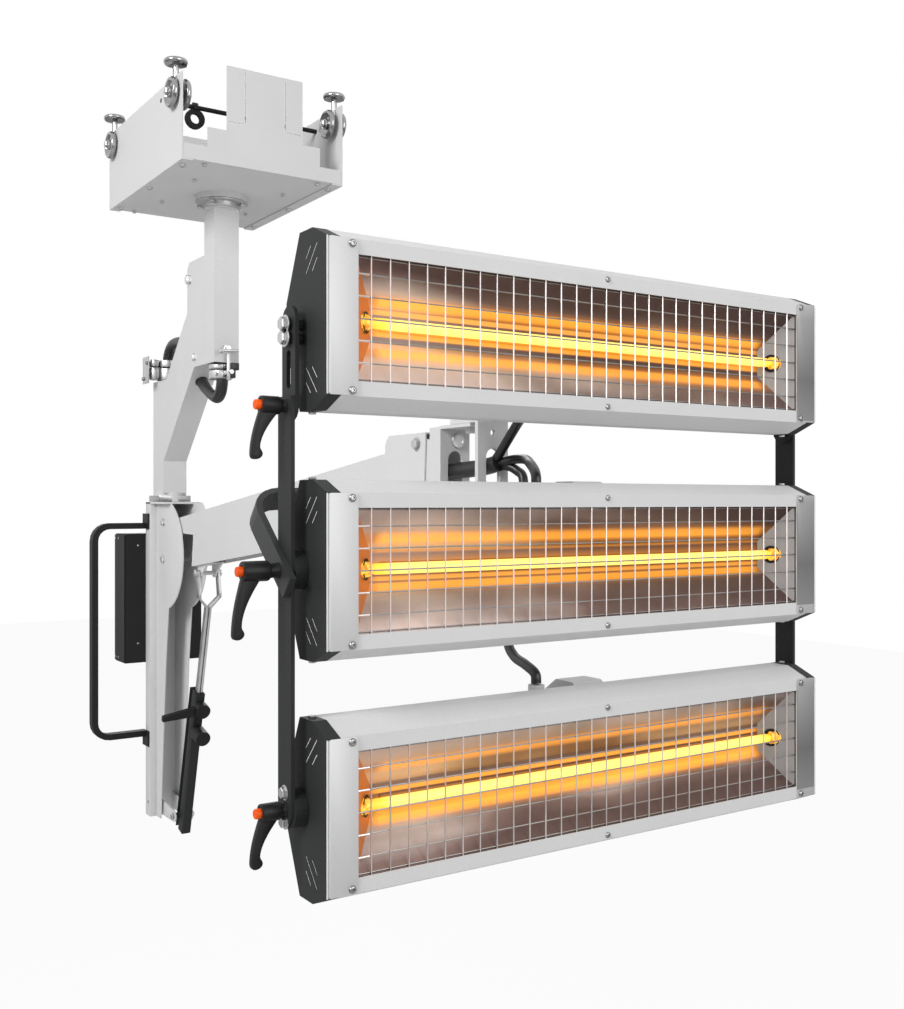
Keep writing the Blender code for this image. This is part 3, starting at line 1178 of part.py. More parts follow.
def build_link(name, side):
    """Slotted plate that carries the top cassette above the post, bolted to its end cap."""
    post_inner = -LEFT_POST_OUTER - POST_THICK if side < 0 else RIGHT_POST_INNER
    outer = post_inner - GAP
    inner = outer - LINK_THICK
    top = below(LINK_TOP_DROP)
    low = below(LINK_BOTTOM_DROP)
    outline = stadium(AXIS_Y, (top + low) / 2, LINK_WIDTH / 2, (top - low) / 2, 9)
    plate = prism("X", outline, min(side * inner, side * outer), max(side * inner, side * outer))
    pieces = [plate]
    for drop in LINK_BOLT_DROPS:
        ends = sorted((side * (inner + SINK), side * (CASSETTE_HALF + GAP)))
        pieces.append(rod("X", (AXIS_Y, below(drop)), LINK_BOLT_RADIUS, ends[0], ends[1], 12))
        ends = sorted((side * (outer - SINK), side * (outer + LINK_STUB)))
        pieces.append(rod("X", (AXIS_Y, below(drop)), LINK_BOLT_RADIUS, ends[0], ends[1], 6))
    reach = sorted((side * (inner - OVERRUN), side * (outer + OVERRUN)))
    bore = rod("X", (AXIS_Y, TOP_PIVOT_Z), PIN_RADIUS + RUN, reach[0], reach[1])
    slot_top = below(LINK_SLOT_TOP_DROP)
    slot_low = below(LINK_SLOT_BOTTOM_DROP)
    slot = prism("X", stadium(AXIS_Y, (slot_top + slot_low) / 2, LINK_SLOT_HALF, (slot_top - slot_low) / 2, 8),
                 reach[0], reach[1])
    return node(name, pieces, [bore, slot], dark_coat(), (0.0, AXIS_Y, TOP_PIVOT_Z))


# Lamp cassettes


def cassette_outline(centre_z):
    """Side view of a cassette, as (y, z)."""
    half = [(0.0, FRONT_HALF), (CHAMFER_DEPTH, BODY_HALF), (FLAT_DEPTH, BODY_HALF), (BODY_DEPTH, BACK_HALF)]
    whole = half + [(depth, -height) for depth, height in reversed(half)]
    return [(depth - LAMP_FRONT_REACH, centre_z + height) for depth, height in whole]


def build_housing(place_name):
    """Folded sheet housing with a front window, a terminal cover and a cable gland behind."""
    centre_z = below(HEAD_DROPS[place_name])
    tilt_z = TOP_PIVOT_Z if place_name == "top" else centre_z
    half = CASSETTE_HALF - CAP_WIDTH
    outline = cassette_outline(centre_z)
    shell = prism("X", outline, -half, half)
    hollow = prism("X", inset(outline, SHEET), -half + SHEET, half - SHEET)
    window = block((-WINDOW_HALF_LENGTH, -LAMP_FRONT_REACH - OVERRUN, centre_z - WINDOW_HALF_HEIGHT),
                   (WINDOW_HALF_LENGTH, -LAMP_FRONT_REACH + SHEET * 2, centre_z + WINDOW_HALF_HEIGHT))
    cover = prism("X", [(AXIS_Y + offset, centre_z + height) for offset, height in COVER_PROFILE],
                  COVER_LOW_X, COVER_HIGH_X)
    way = -1 if place_name == "top" else 1
    stem_end = TOP_GLAND_END if place_name == "top" else GLAND_TOP
    block_end = TOP_GLAND_BLOCK if place_name == "top" else GLAND_BLOCK_TOP
    gland_y = AXIS_Y + GLAND_OFFSET
    rise = sorted((centre_z + way * GLAND_LOW, centre_z + way * block_end))
    gland_block = block((GLAND_X - GLAND_HALF, AXIS_Y + GLAND_ROOT, rise[0]),
                        (GLAND_X + GLAND_HALF, gland_y + GLAND_HALF, rise[1]))
    stem = sorted((centre_z + way * (block_end - SINK), centre_z + way * stem_end))
    gland = rod("Z", (GLAND_X, gland_y), GLAND_RADIUS, stem[0], stem[1], 12)
    return node("housing_" + place_name, [shell], [hollow, window], light_coat(), (0.0, AXIS_Y, tilt_z),
                [cover, gland_block, gland])


def build_cap(place_name, side, hand):
    """Dished end cap with slanted vent slits, and a bored boss where a pivot enters it."""
    centre_z = below(HEAD_DROPS[place_name])
    tilt_z = TOP_PIVOT_Z if place_name == "top" else centre_z
    outline = cassette_outline(centre_z)
    inner = CASSETTE_HALF - CAP_WIDTH + GAP
    face = sorted((side * inner, side * CASSETTE_HALF))
    shell = prism("X", outline, face[0], face[1])
    deep = sorted((side * (inner - OVERRUN), side * (CASSETTE_HALF - CAP_WALL)))
    hollow = prism("X", inset(outline, CAP_WALL), deep[0], deep[1])
    through = sorted((side * (inner + SINK), side * (CASSETTE_HALF + OVERRUN)))
    slits = []
    for group in (-1, 1):
        for count, length in ((-1, VENT_SHORT), (0, VENT_LONG), (1, VENT_SHORT)):
            y = VENT_DEPTH - LAMP_FRONT_REACH + count * VENT_PITCH
            z = centre_z + group * (VENT_HEIGHT + count * VENT_PITCH)
            slit = block((through[0], y - VENT_WIDTH / 2, z - length / 2),
                         (through[1], y + VENT_WIDTH / 2, z + length / 2))
            slits.append(turned_about(slit, Vector((0.0, y, z)), "X", group * VENT_LEAN))
    later = []
    last = []
    if place_name != "top":
        boss = sorted((side * (CASSETTE_HALF - CAP_BOSS_LENGTH), side * (CASSETTE_HALF - CAP_WALL / 2)))
        later.append(rod("X", (AXIS_Y, centre_z), CAP_BOSS_RADIUS, boss[0], boss[1]))
        last.append(rod("X", (AXIS_Y, centre_z), PIN_RADIUS + RUN, through[0], through[1]))
    return node("cap_" + hand + "_" + place_name, [shell], [hollow, merged(slits)], dark_coat(),
                (0.0, AXIS_Y, tilt_z), later, last)


def build_reflector(place_name):
    """Trough of thin bright sheet behind the grille, with a flat rim and closed ends."""
    centre_z = below(HEAD_DROPS[place_name])
    tilt_z = TOP_PIVOT_Z if place_name == "top" else centre_z
    slope = (TROUGH_FRONT_HALF - TROUGH_BACK_HALF) / (TROUGH_DEPTH - TROUGH_START)
    shift = TROUGH_SHEET * math.sqrt(1 + slope * slope)
    front = -LAMP_FRONT_REACH

    def wall(depth, inwards):
        return TROUGH_FRONT_HALF - inwards - slope * (depth - TROUGH_START)

    def section(first, last, inwards):
        half = [(first, wall(first, inwards)), (last, wall(last, inwards))]
        whole = half + [(depth, -height) for depth, height in reversed(half)]
        return [(front + depth, centre_z + height) for depth, height in whole]

    body = prism("X", section(TROUGH_START, TROUGH_DEPTH, 0.0), -WINDOW_HALF_LENGTH, WINDOW_HALF_LENGTH)
    rim = block((-WINDOW_HALF_LENGTH - GRILLE_LAND, front + TROUGH_START, centre_z - WINDOW_HALF_HEIGHT - GRILLE_LAND),
                (WINDOW_HALF_LENGTH + GRILLE_LAND, front + TROUGH_START + TROUGH_SHEET,
                 centre_z + WINDOW_HALF_HEIGHT + GRILLE_LAND))
    inner = WINDOW_HALF_LENGTH - TROUGH_SHEET
    hollow = prism("X", section(TROUGH_START - OVERRUN, TROUGH_DEPTH - TROUGH_SHEET, shift), -inner, inner)
    return node("reflector_" + place_name, [body, rim], [hollow], gold_reflector(), (0.0, AXIS_Y, tilt_z))


def build_lamp(place_name):
    """Quartz tube between two ceramic holders."""
    centre_z = below(HEAD_DROPS[place_name])
    tilt_z = TOP_PIVOT_Z if place_name == "top" else centre_z
    y = LAMP_DEPTH - LAMP_FRONT_REACH
    tube = rod("X", (y, centre_z), LAMP_RADIUS, -LAMP_HALF, LAMP_HALF)
    end = WINDOW_HALF_LENGTH - TROUGH_SHEET - GAP
    holders = [block((-end, y - HOLDER_HALF, centre_z - HOLDER_HALF), (-HOLDER_START, y + HOLDER_HALF, centre_z + HOLDER_HALF)),
               block((HOLDER_START, y - HOLDER_HALF, centre_z - HOLDER_HALF), (end, y + HOLDER_HALF, centre_z + HOLDER_HALF))]
    return node("lamp_" + place_name, [tube] + holders, (), lit_quartz(), (0.0, AXIS_Y, tilt_z))


def bar_edges(low, high, gaps):
    """Edges of evenly spaced bars: each bar is followed by a gap, and a bar closes the row."""
    gap = (high - low - GRILLE_WIRE * (gaps + 1)) / gaps
    edges = [low]
    for count in range(gaps):
        edges.append(edges[-1] + GRILLE_WIRE)
        edges.append(edges[-1] + gap)
    edges.append(edges[-1] + GRILLE_WIRE)
    return edges


def build_grille(place_name):
    """Flat guard lattice behind the front window, in one piece."""
    centre_z = below(HEAD_DROPS[place_name])
    tilt_z = TOP_PIVOT_Z if place_name == "top" else centre_z
    across = bar_edges(-WINDOW_HALF_LENGTH - GRILLE_LAND, WINDOW_HALF_LENGTH + GRILLE_LAND, GRILLE_COLUMNS)
    up = bar_edges(centre_z - WINDOW_HALF_HEIGHT - GRILLE_LAND, centre_z + WINDOW_HALF_HEIGHT + GRILLE_LAND, GRILLE_ROWS)
    faces = (GRILLE_FRONT - LAMP_FRONT_REACH, GRILLE_BACK - LAMP_FRONT_REACH)
    solid = bmesh.new()
    grid = [[[solid.verts.new((x, y, z)) for z in up] for x in across] for y in faces]

    def filled(i, j):
        inside = 0 <= i < len(across) - 1 and 0 <= j < len(up) - 1
        return inside and not (i % 2 == 1 and j % 2 == 1)

    for i in range(len(across) - 1):
        for j in range(len(up) - 1):
            if not filled(i, j):
                continue
            for layer in grid:
                solid.faces.new((layer[i][j], layer[i + 1][j], layer[i + 1][j + 1], layer[i][j + 1]))
            sides = [(i, j - 1, (i, j), (i + 1, j)), (i, j + 1, (i, j + 1), (i + 1, j + 1)),
                     (i - 1, j, (i, j), (i, j + 1)), (i + 1, j, (i + 1, j), (i + 1, j + 1))]
            for next_i, next_j, first, second in sides:
                if not filled(next_i, next_j):
                    solid.faces.new((grid[0][first[0]][first[1]], grid[0][second[0]][second[1]],
                                     grid[1][second[0]][second[1]], grid[1][first[0]][first[1]]))
    loose = [vert for vert in solid.verts if not vert.link_faces]
    for vert in loose:
        solid.verts.remove(vert)
    bmesh.ops.recalc_face_normals(solid, faces=solid.faces)
    bmesh.ops.translate(solid, verts=solid.verts, vec=Vector((0.0, -AXIS_Y, -tilt_z)))
    holder = keep("grille_" + place_name, solid, zinc_steel())
    holder.location = (0.0, AXIS_Y, tilt_z)
    return holder


# Clamp levers and their buttons


def build_lever(place_name, sizes, mount_x, z):
    """Clamp lever: stud, collar and barrel on one axis, and a curved arm that hangs from the barrel."""
    collar_end = mount_x - STUD_GAP - sizes["collar"]
    end = collar_end - sizes["barrel"]
    centre = (AXIS_Y, z)
    stud_tip = -(CASSETTE_HALF - PIN_SINK)
    if place_name == "top":
        stud_tip = LEFT_POST_OUTER + POST_THICK + GAP + LINK_THICK + SINK
    barrel = rod("X", centre, sizes["radius"], end, collar_end + SINK, ROUND_SIDES)
    collar = rod("X", centre, sizes["radius"] * LEVER_WAIST_SHARE, collar_end, mount_x - STUD_GAP)
    stud = rod("X", centre, PIN_RADIUS, mount_x - STUD_GAP - SINK, stud_tip)
    length = sizes["length"]
    root = end + LEVER_HEAD
    waist = LEVER_FOOT + (LEVER_HEAD - LEVER_FOOT) / 4
    outline = [(end, 0.0), (end, -length / 3), (end, -length * 2 / 3), (end - LEVER_HOOK, -length),
               (end - LEVER_HOOK + LEVER_FOOT, -length), (end + waist, -length * 2 / 3),
               (end + (waist + LEVER_HEAD) / 2, -length / 3), (root, 0.0)]
    half = LEVER_THICK / 2
    arm = prism("Y", [(z + drop, x) for x, drop in outline], AXIS_Y - half, AXIS_Y + half)
    bore = rod("X", centre, BUTTON_RADIUS + STUD_GAP, end - OVERRUN, end + BUTTON_SINK + BUTTON_TRAVEL + STUD_GAP)
    return node("lever_" + place_name, [barrel, collar, stud, arm], [bore], black_moulding(), (0.0, AXIS_Y, z)), end


def build_button(place_name, end, z):
    """Round release button in the end of a clamp lever's barrel."""
    body = rod("X", (AXIS_Y, z), BUTTON_RADIUS, end - BUTTON_PROUD, end + BUTTON_SINK)
    return node("button_" + place_name, [body], (), orange_moulding(), (end, AXIS_Y, z))


# Strut

STRUT_FOOT = Vector((0.0, STRUT_FOOT_REACH, below(STRUT_FOOT_DROP)))
STRUT_RUN = Vector((0.0, LUG_REACH, below(LUG_DROP))) - STRUT_FOOT
STRUT_LENGTH = STRUT_RUN.length
STRUT_LEAN = math.atan2(-STRUT_RUN.y, STRUT_RUN.z)


def leaning(solid):
    """The solid, drawn upright over the strut's foot, laid along the strut."""
    bmesh.ops.translate(solid, verts=solid.verts, vec=STRUT_FOOT)
    return turned_about(solid, STRUT_FOOT, "X", STRUT_LEAN)


def build_strut_channel():
    """Channel that takes the fork, open behind, on the mast's foot pin."""
    outer = [(-CHANNEL_HALF, -STRUT_FRONT), (CHANNEL_HALF, -STRUT_FRONT), (CHANNEL_HALF, STRUT_REAR),
             (CHANNEL_HALF - CHANNEL_WALL, STRUT_REAR), (CHANNEL_HALF - CHANNEL_WALL, CHANNEL_WALL - STRUT_FRONT),
             (CHANNEL_WALL - CHANNEL_HALF, CHANNEL_WALL - STRUT_FRONT), (CHANNEL_WALL - CHANNEL_HALF, STRUT_REAR),
             (-CHANNEL_HALF, STRUT_REAR)]
    body = leaning(prism("Z", outer, -CHANNEL_TAIL, CHANNEL_TOP))
    bore = leaning(rod("X", (0.0, 0.0), FOOT_PIN_RADIUS + RUN, -CHANNEL_HALF - OVERRUN, CHANNEL_HALF + OVERRUN))
    studs = []
    for height in (KNOB_AT, STRUT_LEVER_AT):
        studs.append(leaning(rod("Y", (height, 0.0), KNOB_STUD_RADIUS + RUN, -STRUT_FRONT - OVERRUN,
                                 CHANNEL_WALL - STRUT_FRONT + SINK * 2)))
    return node("strut_channel", [body], [bore, merged(studs)], dark_coat(), STRUT_FOOT)


def build_strut_fork():
    """Fork with two eyes beside the lift arm's lug; its legs close up and slide in the channel."""
    top = STRUT_LENGTH
    kink = top - FORK_KINK
    bend = kink - FORK_BEND
    step = FORK_EYE_OUTER - FORK_OUTER
    pieces = []
    for side in (-1, 1):
        outer = side * FORK_EYE_OUTER
        inner = side * (FORK_EYE_OUTER - FORK_LEG)
        eye = [(FORK_EYE_RADIUS * math.sin(turn), top + FORK_EYE_RADIUS * math.cos(turn))
               for turn in [math.pi * share / 8 for share in range(-4, 5)]]
        rear_to_front = sorted(eye, key=lambda spot: -spot[0])
        outline = rear_to_front + [(-FORK_FRONT, kink + FORK_BEND), (-FORK_FRONT, kink), (-FORK_REAR, kink)]
        pieces.append(leaning(prism("X", outline, min(inner, outer), max(inner, outer))))
        low = [(side * (FORK_OUTER - FORK_LEG), FORK_LOW), (side * FORK_OUTER, FORK_LOW),
               (side * FORK_OUTER, bend), (side * (FORK_OUTER + step), kink), (side * FORK_EYE_OUTER, kink + SINK),
               (side * (FORK_EYE_OUTER - FORK_LEG), kink + SINK), (side * (FORK_EYE_OUTER - FORK_LEG), kink),
               (side * (FORK_OUTER - FORK_LEG), bend)]
        pieces.append(leaning(prism("Y", [(s, x) for x, s in low], -FORK_FRONT, -FORK_REAR)))
        head = sorted((outer - side * SINK, outer + side * FORK_HEAD_THICK))
        pieces.append(leaning(rod("X", (0.0, top), FORK_HEAD_RADIUS, head[0], head[1], 6)))
    tie = FORK_OUTER - FORK_LEG + SINK
    pieces.append(leaning(block((-tie, -FORK_FRONT, FORK_LOW), (tie, -FORK_REAR, FORK_LOW + FORK_TIE))))
    return node("strut_fork", pieces, (), zinc_steel(), STRUT_FOOT)


def build_strut_lever():
    """Clamp lever on the front of the channel: hub, stud and an arm to the left."""
    face = -STRUT_FRONT - GAP
    hub = leaning(rod("Y", (STRUT_LEVER_AT, 0.0), STRUT_LEVER_HUB_RADIUS, face - STRUT_LEVER_HUB, face, ROUND_SIDES))
    stud = leaning(rod("Y", (STRUT_LEVER_AT, 0.0), KNOB_STUD_RADIUS, face - SINK, CHANNEL_WALL - STRUT_FRONT + SINK))
    tip = -STRUT_LEVER_LENGTH
    fall = STRUT_LEVER_AT - STRUT_LEVER_FALL
    outline = [(STRUT_LEVER_AT + STRUT_LEVER_TIP_HALF * 2, 0.0),
               (fall + STRUT_LEVER_TIP_HALF, tip), (fall - STRUT_LEVER_TIP_HALF, tip),
               (STRUT_LEVER_AT - STRUT_LEVER_TIP_HALF * 2, 0.0)]
    middle = face - STRUT_LEVER_HUB / 2
    arm = leaning(prism("Y", outline, middle - STRUT_LEVER_DEPTH / 2, middle + STRUT_LEVER_DEPTH / 2))
    forward = Vector((0.0, -math.cos(STRUT_LEAN), -math.sin(STRUT_LEAN)))
    along = Vector((0.0, -math.sin(STRUT_LEAN), math.cos(STRUT_LEAN)))
    centre = STRUT_FOOT + along * STRUT_LEVER_AT + forward * STRUT_FRONT
    return node("strut_lever", [hub, stud, arm], (), black_moulding(), centre)


def build_strut_knob():
    """Round knob on the front of the channel."""
    face = -STRUT_FRONT - GAP
    body = leaning(rod("Y", (KNOB_AT, 0.0), KNOB_RADIUS, face - KNOB_LENGTH, face, ROUND_SIDES))
    stud = leaning(rod("Y", (KNOB_AT, 0.0), KNOB_STUD_RADIUS, face - SINK, CHANNEL_WALL - STRUT_FRONT + SINK))
    forward = Vector((0.0, -math.cos(STRUT_LEAN), -math.sin(STRUT_LEAN)))
    along = Vector((0.0, -math.sin(STRUT_LEAN), math.cos(STRUT_LEAN)))
    centre = STRUT_FOOT + along * KNOB_AT + forward * STRUT_FRONT
    return node("strut_knob", [body, stud], (), black_moulding(), centre)


def build_all():
    """Every piece of the dryer."""
    build_trolley_pan()
    build_trolley_side("trolley_side_left", -1)
    build_trolley_side("trolley_side_right", 1)
    number = 0
    for side in (-1, 1):
        for end in (-1, 1):
            number += 1
            build_wheelset(f"wheelset_{number}", side, end)
            build_guide_roller(f"guide_roller_{number}", side, end)
    build_cable_bar()
    build_column()
    build_offset_arm()
    build_front_clamp()
    build_rear_clamp()
    build_column_cable()
    build_mast()
    build_control_box()
    build_grab_handle()
    build_lift_arm()
    build_level_rod()
    build_arm_end()
    build_yoke()
    build_post_left()
    build_post_right()
    build_link("link_left", -1)
    build_link("link_right", 1)
    for place_name in HEAD_DROPS:
        build_housing(place_name)
        build_cap(place_name, -1, "left")
        build_cap(place_name, 1, "right")
        build_reflector(place_name)
        build_lamp(place_name)
        build_grille(place_name)
    mounts = {"top": (SMALL_LEVER, LEFT_POST_OUTER, TOP_PIVOT_Z),
              "middle": (LARGE_LEVER, LEFT_POST_OUTER - GAP - YOKE_BAR_THICK, MIDDLE_Z),
              "bottom": (SMALL_LEVER, LEFT_POST_OUTER, below(HEAD_DROPS["bottom"]))}
    for place_name, (sizes, mount_x, z) in mounts.items():
        lever, end = build_lever(place_name, sizes, mount_x, z)
        build_button(place_name, end, z)
    build_strut_channel()
    build_strut_fork()
    build_strut_lever()
    build_strut_knob()
    cable("supply_cable", from_drops(TRUNK_ROUTE), TRUNK_RADIUS, 2)
    cable("cable_top", from_drops(TOP_ROUTE), BRANCH_RADIUS, 3)
    cable("cable_middle", from_drops(MIDDLE_ROUTE), BRANCH_RADIUS, 3)
    cable("cable_bottom", from_drops(BOTTOM_ROUTE), BRANCH_RADIUS, 3)


build_all()
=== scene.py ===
"""Ceiling-rail infrared paint dryer: trolley, column, offset arm, mast, balanced arm and three lamp cassettes.

The CAD model of the dryer is the frame. This add-on gives its parts their finishes, puts detailed
pieces in the place of the plain ones, and sets up a pale studio round it.
"""

import math

import bpy
from mathutils import Matrix, Vector


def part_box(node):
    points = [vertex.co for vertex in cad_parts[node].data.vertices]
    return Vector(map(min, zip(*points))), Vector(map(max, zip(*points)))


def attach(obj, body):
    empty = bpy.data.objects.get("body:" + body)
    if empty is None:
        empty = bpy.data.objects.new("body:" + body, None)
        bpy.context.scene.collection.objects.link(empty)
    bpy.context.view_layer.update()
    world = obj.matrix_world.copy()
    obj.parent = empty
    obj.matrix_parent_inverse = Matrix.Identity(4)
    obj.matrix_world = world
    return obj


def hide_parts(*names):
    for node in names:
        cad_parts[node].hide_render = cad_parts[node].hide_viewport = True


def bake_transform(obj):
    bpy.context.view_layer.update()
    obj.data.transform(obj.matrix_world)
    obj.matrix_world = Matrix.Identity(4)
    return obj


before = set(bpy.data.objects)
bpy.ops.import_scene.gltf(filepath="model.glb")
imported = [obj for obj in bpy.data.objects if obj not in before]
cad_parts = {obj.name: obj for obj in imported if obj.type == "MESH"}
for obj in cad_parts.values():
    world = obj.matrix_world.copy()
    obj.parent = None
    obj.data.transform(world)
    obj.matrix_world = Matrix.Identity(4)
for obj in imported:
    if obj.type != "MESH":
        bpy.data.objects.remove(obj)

bl_info = {
    "name": "Rail Infrared Dryer",
    "version": (1, 0, 0),
    "blender": (4, 5, 0),
    "location": "View3D > Sidebar > Dryer",
    "description": "Dresses the CAD model of a ceiling-rail infrared paint dryer",
    "category": "Object",
}

TROLLEY_BASE = -0.113
PLACES = ("top", "middle", "bottom")


# Sizes and colours


def length(name, description, default):
    """A setting for a length."""
    return bpy.props.FloatProperty(name=name, description=description, default=default, unit="LENGTH")


def tint(name, description, default):
    """A setting for a colour in linear light."""
    return bpy.props.FloatVectorProperty(name=name, description=description, default=default, subtype="COLOR")


class DryerSizes(bpy.types.PropertyGroup):
    """Sizes of the pieces that this add-on models."""

    wire: length("Guard wire", "Radius of the guard's wires", 0.001)
    wire_pitch: length("Guard pitch", "Distance between upright guard wires", 0.02557)
    wire_count: bpy.props.IntProperty(name="Guard wires", description="Number of upright guard wires", default=29)
    upright_depth: length("Upright depth", "Depth of the upright wires behind the cassette's front", 0.0021)
    level_depth: length("Level depth", "Depth of the level wires behind the cassette's front", 0.0040)
    plate: length("End plate", "Thickness of a cassette's end plate", 0.0011)
    plate_inner: length("End plate reach", "Distance from the middle to an end plate's inner edge", 0.377)
    plate_outer: length("End plate end", "Distance from the middle to an end plate's outer edge", 0.4178)
    screw: length("Case screw", "Head radius of the screws in the cassettes", 0.0048)
    trunk: length("Trunk cable", "Radius of the supply cable", 0.0129)
    branch: length("Branch cable", "Radius of the three lamp cables", 0.0072)
    column_cable: length("Column cable", "Radius of the cable below the column", 0.0135)
    wheel: length("Wheel", "Radius of a running wheel", 0.032)
    roller: length("Guide roller", "Radius of a guide roller", 0.0255)
    tube: length("Lamp tube", "Radius of a lamp tube", 0.0067)
    tube_depth: length("Lamp tube depth", "Depth of a lamp tube behind the cassette's front", 0.027)
    tube_half: length("Lamp tube half", "Half of a lamp tube's length", 0.345)


class DryerColours(bpy.types.PropertyGroup):
    """Colours of the dryer's finishes, in linear light."""

    light: tint("Light coat", "Light grey powder coat", (0.68, 0.68, 0.68))
    dark: tint("Dark coat", "Charcoal powder coat", (0.018, 0.019, 0.019))
    black: tint("Black plastic", "Moulded clamp levers and knobs", (0.010, 0.010, 0.010))
    rubber: tint("Rubber", "Cable sheath and clamp blocks", (0.009, 0.009, 0.010))
    orange: tint("Button", "Release buttons", (0.80, 0.085, 0.001))
    chrome: tint("Chrome", "Polished wheels, rollers and bolts", (0.36, 0.36, 0.36))
    zinc: tint("Zinc", "Zinc-plated steel", (0.58, 0.58, 0.58))
    copper: tint("Reflector", "Bronzed reflector", (0.48, 0.39, 0.36))
    glow: tint("Glow", "Light of a lamp tube", (1.0, 0.83, 0.20))


def sizes():
    """The scene's size settings."""
    return bpy.context.scene.dryer_sizes


def colours():
    """The scene's colour settings."""
    return bpy.context.scene.dryer_colours


def below(drop):
    """Height of something that hangs this far below the trolley's base."""
    return TROLLEY_BASE - drop


# Finishes, all of them laid out on the object's own coordinates


def set_socket(tree, socket, value):
    """Links a socket to another one, or stores a value in it."""
    if isinstance(value, bpy.types.NodeSocket):
        tree.links.new(value, socket)
    else:
        socket.default_value = value


def new_node(tree, kind, settings=None, first=(), **inputs):
    """A new node with its settings and inputs: the first ones in their order, the others by their names."""
    node = tree.nodes.new(kind)
    for key, value in (settings or {}).items():
        setattr(node, key, value)
    for index, value in enumerate(first):
        set_socket(tree, node.inputs[index], value)
    for key, value in inputs.items():
        set_socket(tree, node.inputs[key.replace("_", " ")], value)
    return node


class Finish:
    """A Principled material with its helpers for noise, colour and bump."""

    def __init__(self, name, roughness, metallic=0.0):
        self.material = bpy.data.materials.new(name)
        self.material.use_nodes = True
        self.tree = self.material.node_tree
        self.shader = self.tree.nodes["Principled BSDF"]
        self.shader.inputs["Roughness"].default_value = roughness
        self.shader.inputs["Metallic"].default_value = metallic
        self.place = self.tree.nodes.new("ShaderNodeTexCoord").outputs["Object"]

    def set(self, name, value):
        """Links one of the shader's sockets, or stores a value in it."""
        set_socket(self.tree, self.shader.inputs[name], value)

    def noise(self, scale, detail=2.0, stretch=(1.0, 1.0, 1.0), move=(0.0, 0.0, 0.0)):
        """Noise on the object's coordinates, moved and stretched along its axes."""
        spread = new_node(self.tree, "ShaderNodeMapping", Vector=self.place, Location=move, Scale=stretch)
        spots = spread.outputs["Vector"]
        return new_node(self.tree, "ShaderNodeTexNoise", Vector=spots, Scale=scale, Detail=detail).outputs["Fac"]

    def ramp(self, factor, stops):
        """A colour ramp through stops given as (position, colour)."""
        node = new_node(self.tree, "ShaderNodeValToRGB", Fac=factor)
        edge = node.color_ramp
        while len(edge.elements) < len(stops):
            edge.elements.new(0.5)
        for element, (position, colour) in zip(edge.elements, stops):
            element.position = position
            element.color = (*colour, 1.0)
        return node.outputs["Color"]

    def span(self, factor, low, high, to_low=0.0, to_high=1.0):
        """A value mapped from one range to another and held there."""
        return new_node(self.tree, "ShaderNodeMapRange", Value=factor, From_Min=low, From_Max=high,
                        To_Min=to_low, To_Max=to_high).outputs["Result"]

    def math(self, operation, first, second=0.0):
        """Two values joined by an operation."""
        return new_node(self.tree, "ShaderNodeMath", {"operation": operation}, (first, second)).outputs["Value"]

    def product(self, *values):
        """Several values multiplied."""
        result = values[0]
        for value in values[1:]:
            result = self.math("MULTIPLY", result, value)
        return result

    def blend(self, factor, first, second):
        """Two colours mixed."""
        node = new_node(self.tree, "ShaderNodeMix", {"data_type": "RGBA", "blend_type": "MIX"}, (factor,))
        for index, value in ((6, first), (7, second)):
            set_socket(self.tree, node.inputs[index], opaque(value))
        return node.outputs[2]

    def axes(self):
        """The object's coordinates as the sockets of X, Y and Z."""
        return new_node(self.tree, "ShaderNodeSeparateXYZ", Vector=self.place).outputs

    def bump(self, height, strength, distance):
        """A bump on the shader's normal."""
        node = new_node(self.tree, "ShaderNodeBump", Height=height, Strength=strength, Distance=distance)
        self.set("Normal", node.outputs["Normal"])

    def colour(self, value):
        """The base colour."""
        self.set("Base Color", opaque(value))

    def rough(self, value):
        """The roughness."""
        self.set("Roughness", value)

    def glow(self, colour, strength):
        """The light that the surface gives off."""
        self.set("Emission Color", colour)
        self.set("Emission Strength", strength)


def opaque(value):
    """A colour with its alpha; a socket stays as it is."""
    return value if isinstance(value, bpy.types.NodeSocket) else (*value, 1.0)


def shade(colour, share):
    """A colour made lighter or darker."""
    return tuple(min(1.0, part * share) for part in colour)


def shades(colour, *stops):
    """Stops of a ramp, given as (position, share of the colour)."""
    return [(position, shade(colour, share)) for position, share in stops]


def powder_coat(name, colour, speckle=0.07, roughness=0.55, gloss=0.5):
    """Fine-textured powder coat: speckled, slightly mottled and finely pebbled."""
    finish = Finish(name, roughness)
    finish.set("Specular IOR Level", gloss)
    grain = finish.noise(620.0, 3.0)
    patches = finish.noise(9.0, 3.0)
    speckled = finish.ramp(grain, shades(colour, (0.30, 1.0 - speckle), (0.52, 1.0), (0.72, 1.0 + speckle)))
    finish.colour(finish.blend(finish.span(patches, 0.35, 0.7, 0.0, 0.5), speckled, shade(colour, 0.93)))
    finish.rough(finish.span(grain, 0.3, 0.7, roughness - 0.07, roughness + 0.07))
    finish.bump(grain, 0.22, 0.0004)
    return finish.material


def two_coats(name, light, dark, limit):
    """Dark coat in front of a limit along Y and light coat behind it, for the welded yoke."""
    finish = Finish(name, 0.55)
    grain = finish.noise(620.0, 3.0)
    behind = finish.span(finish.axes()["Y"], limit - 0.0005, limit + 0.0005)
    light_side = finish.ramp(grain, shades(light, (0.30, 0.93), (0.72, 1.05)))
    dark_side = finish.ramp(grain, shades(dark, (0.30, 0.80), (0.72, 1.25)))
    finish.colour(finish.blend(behind, dark_side, light_side))
    finish.bump(grain, 0.22, 0.0004)
    return finish.material


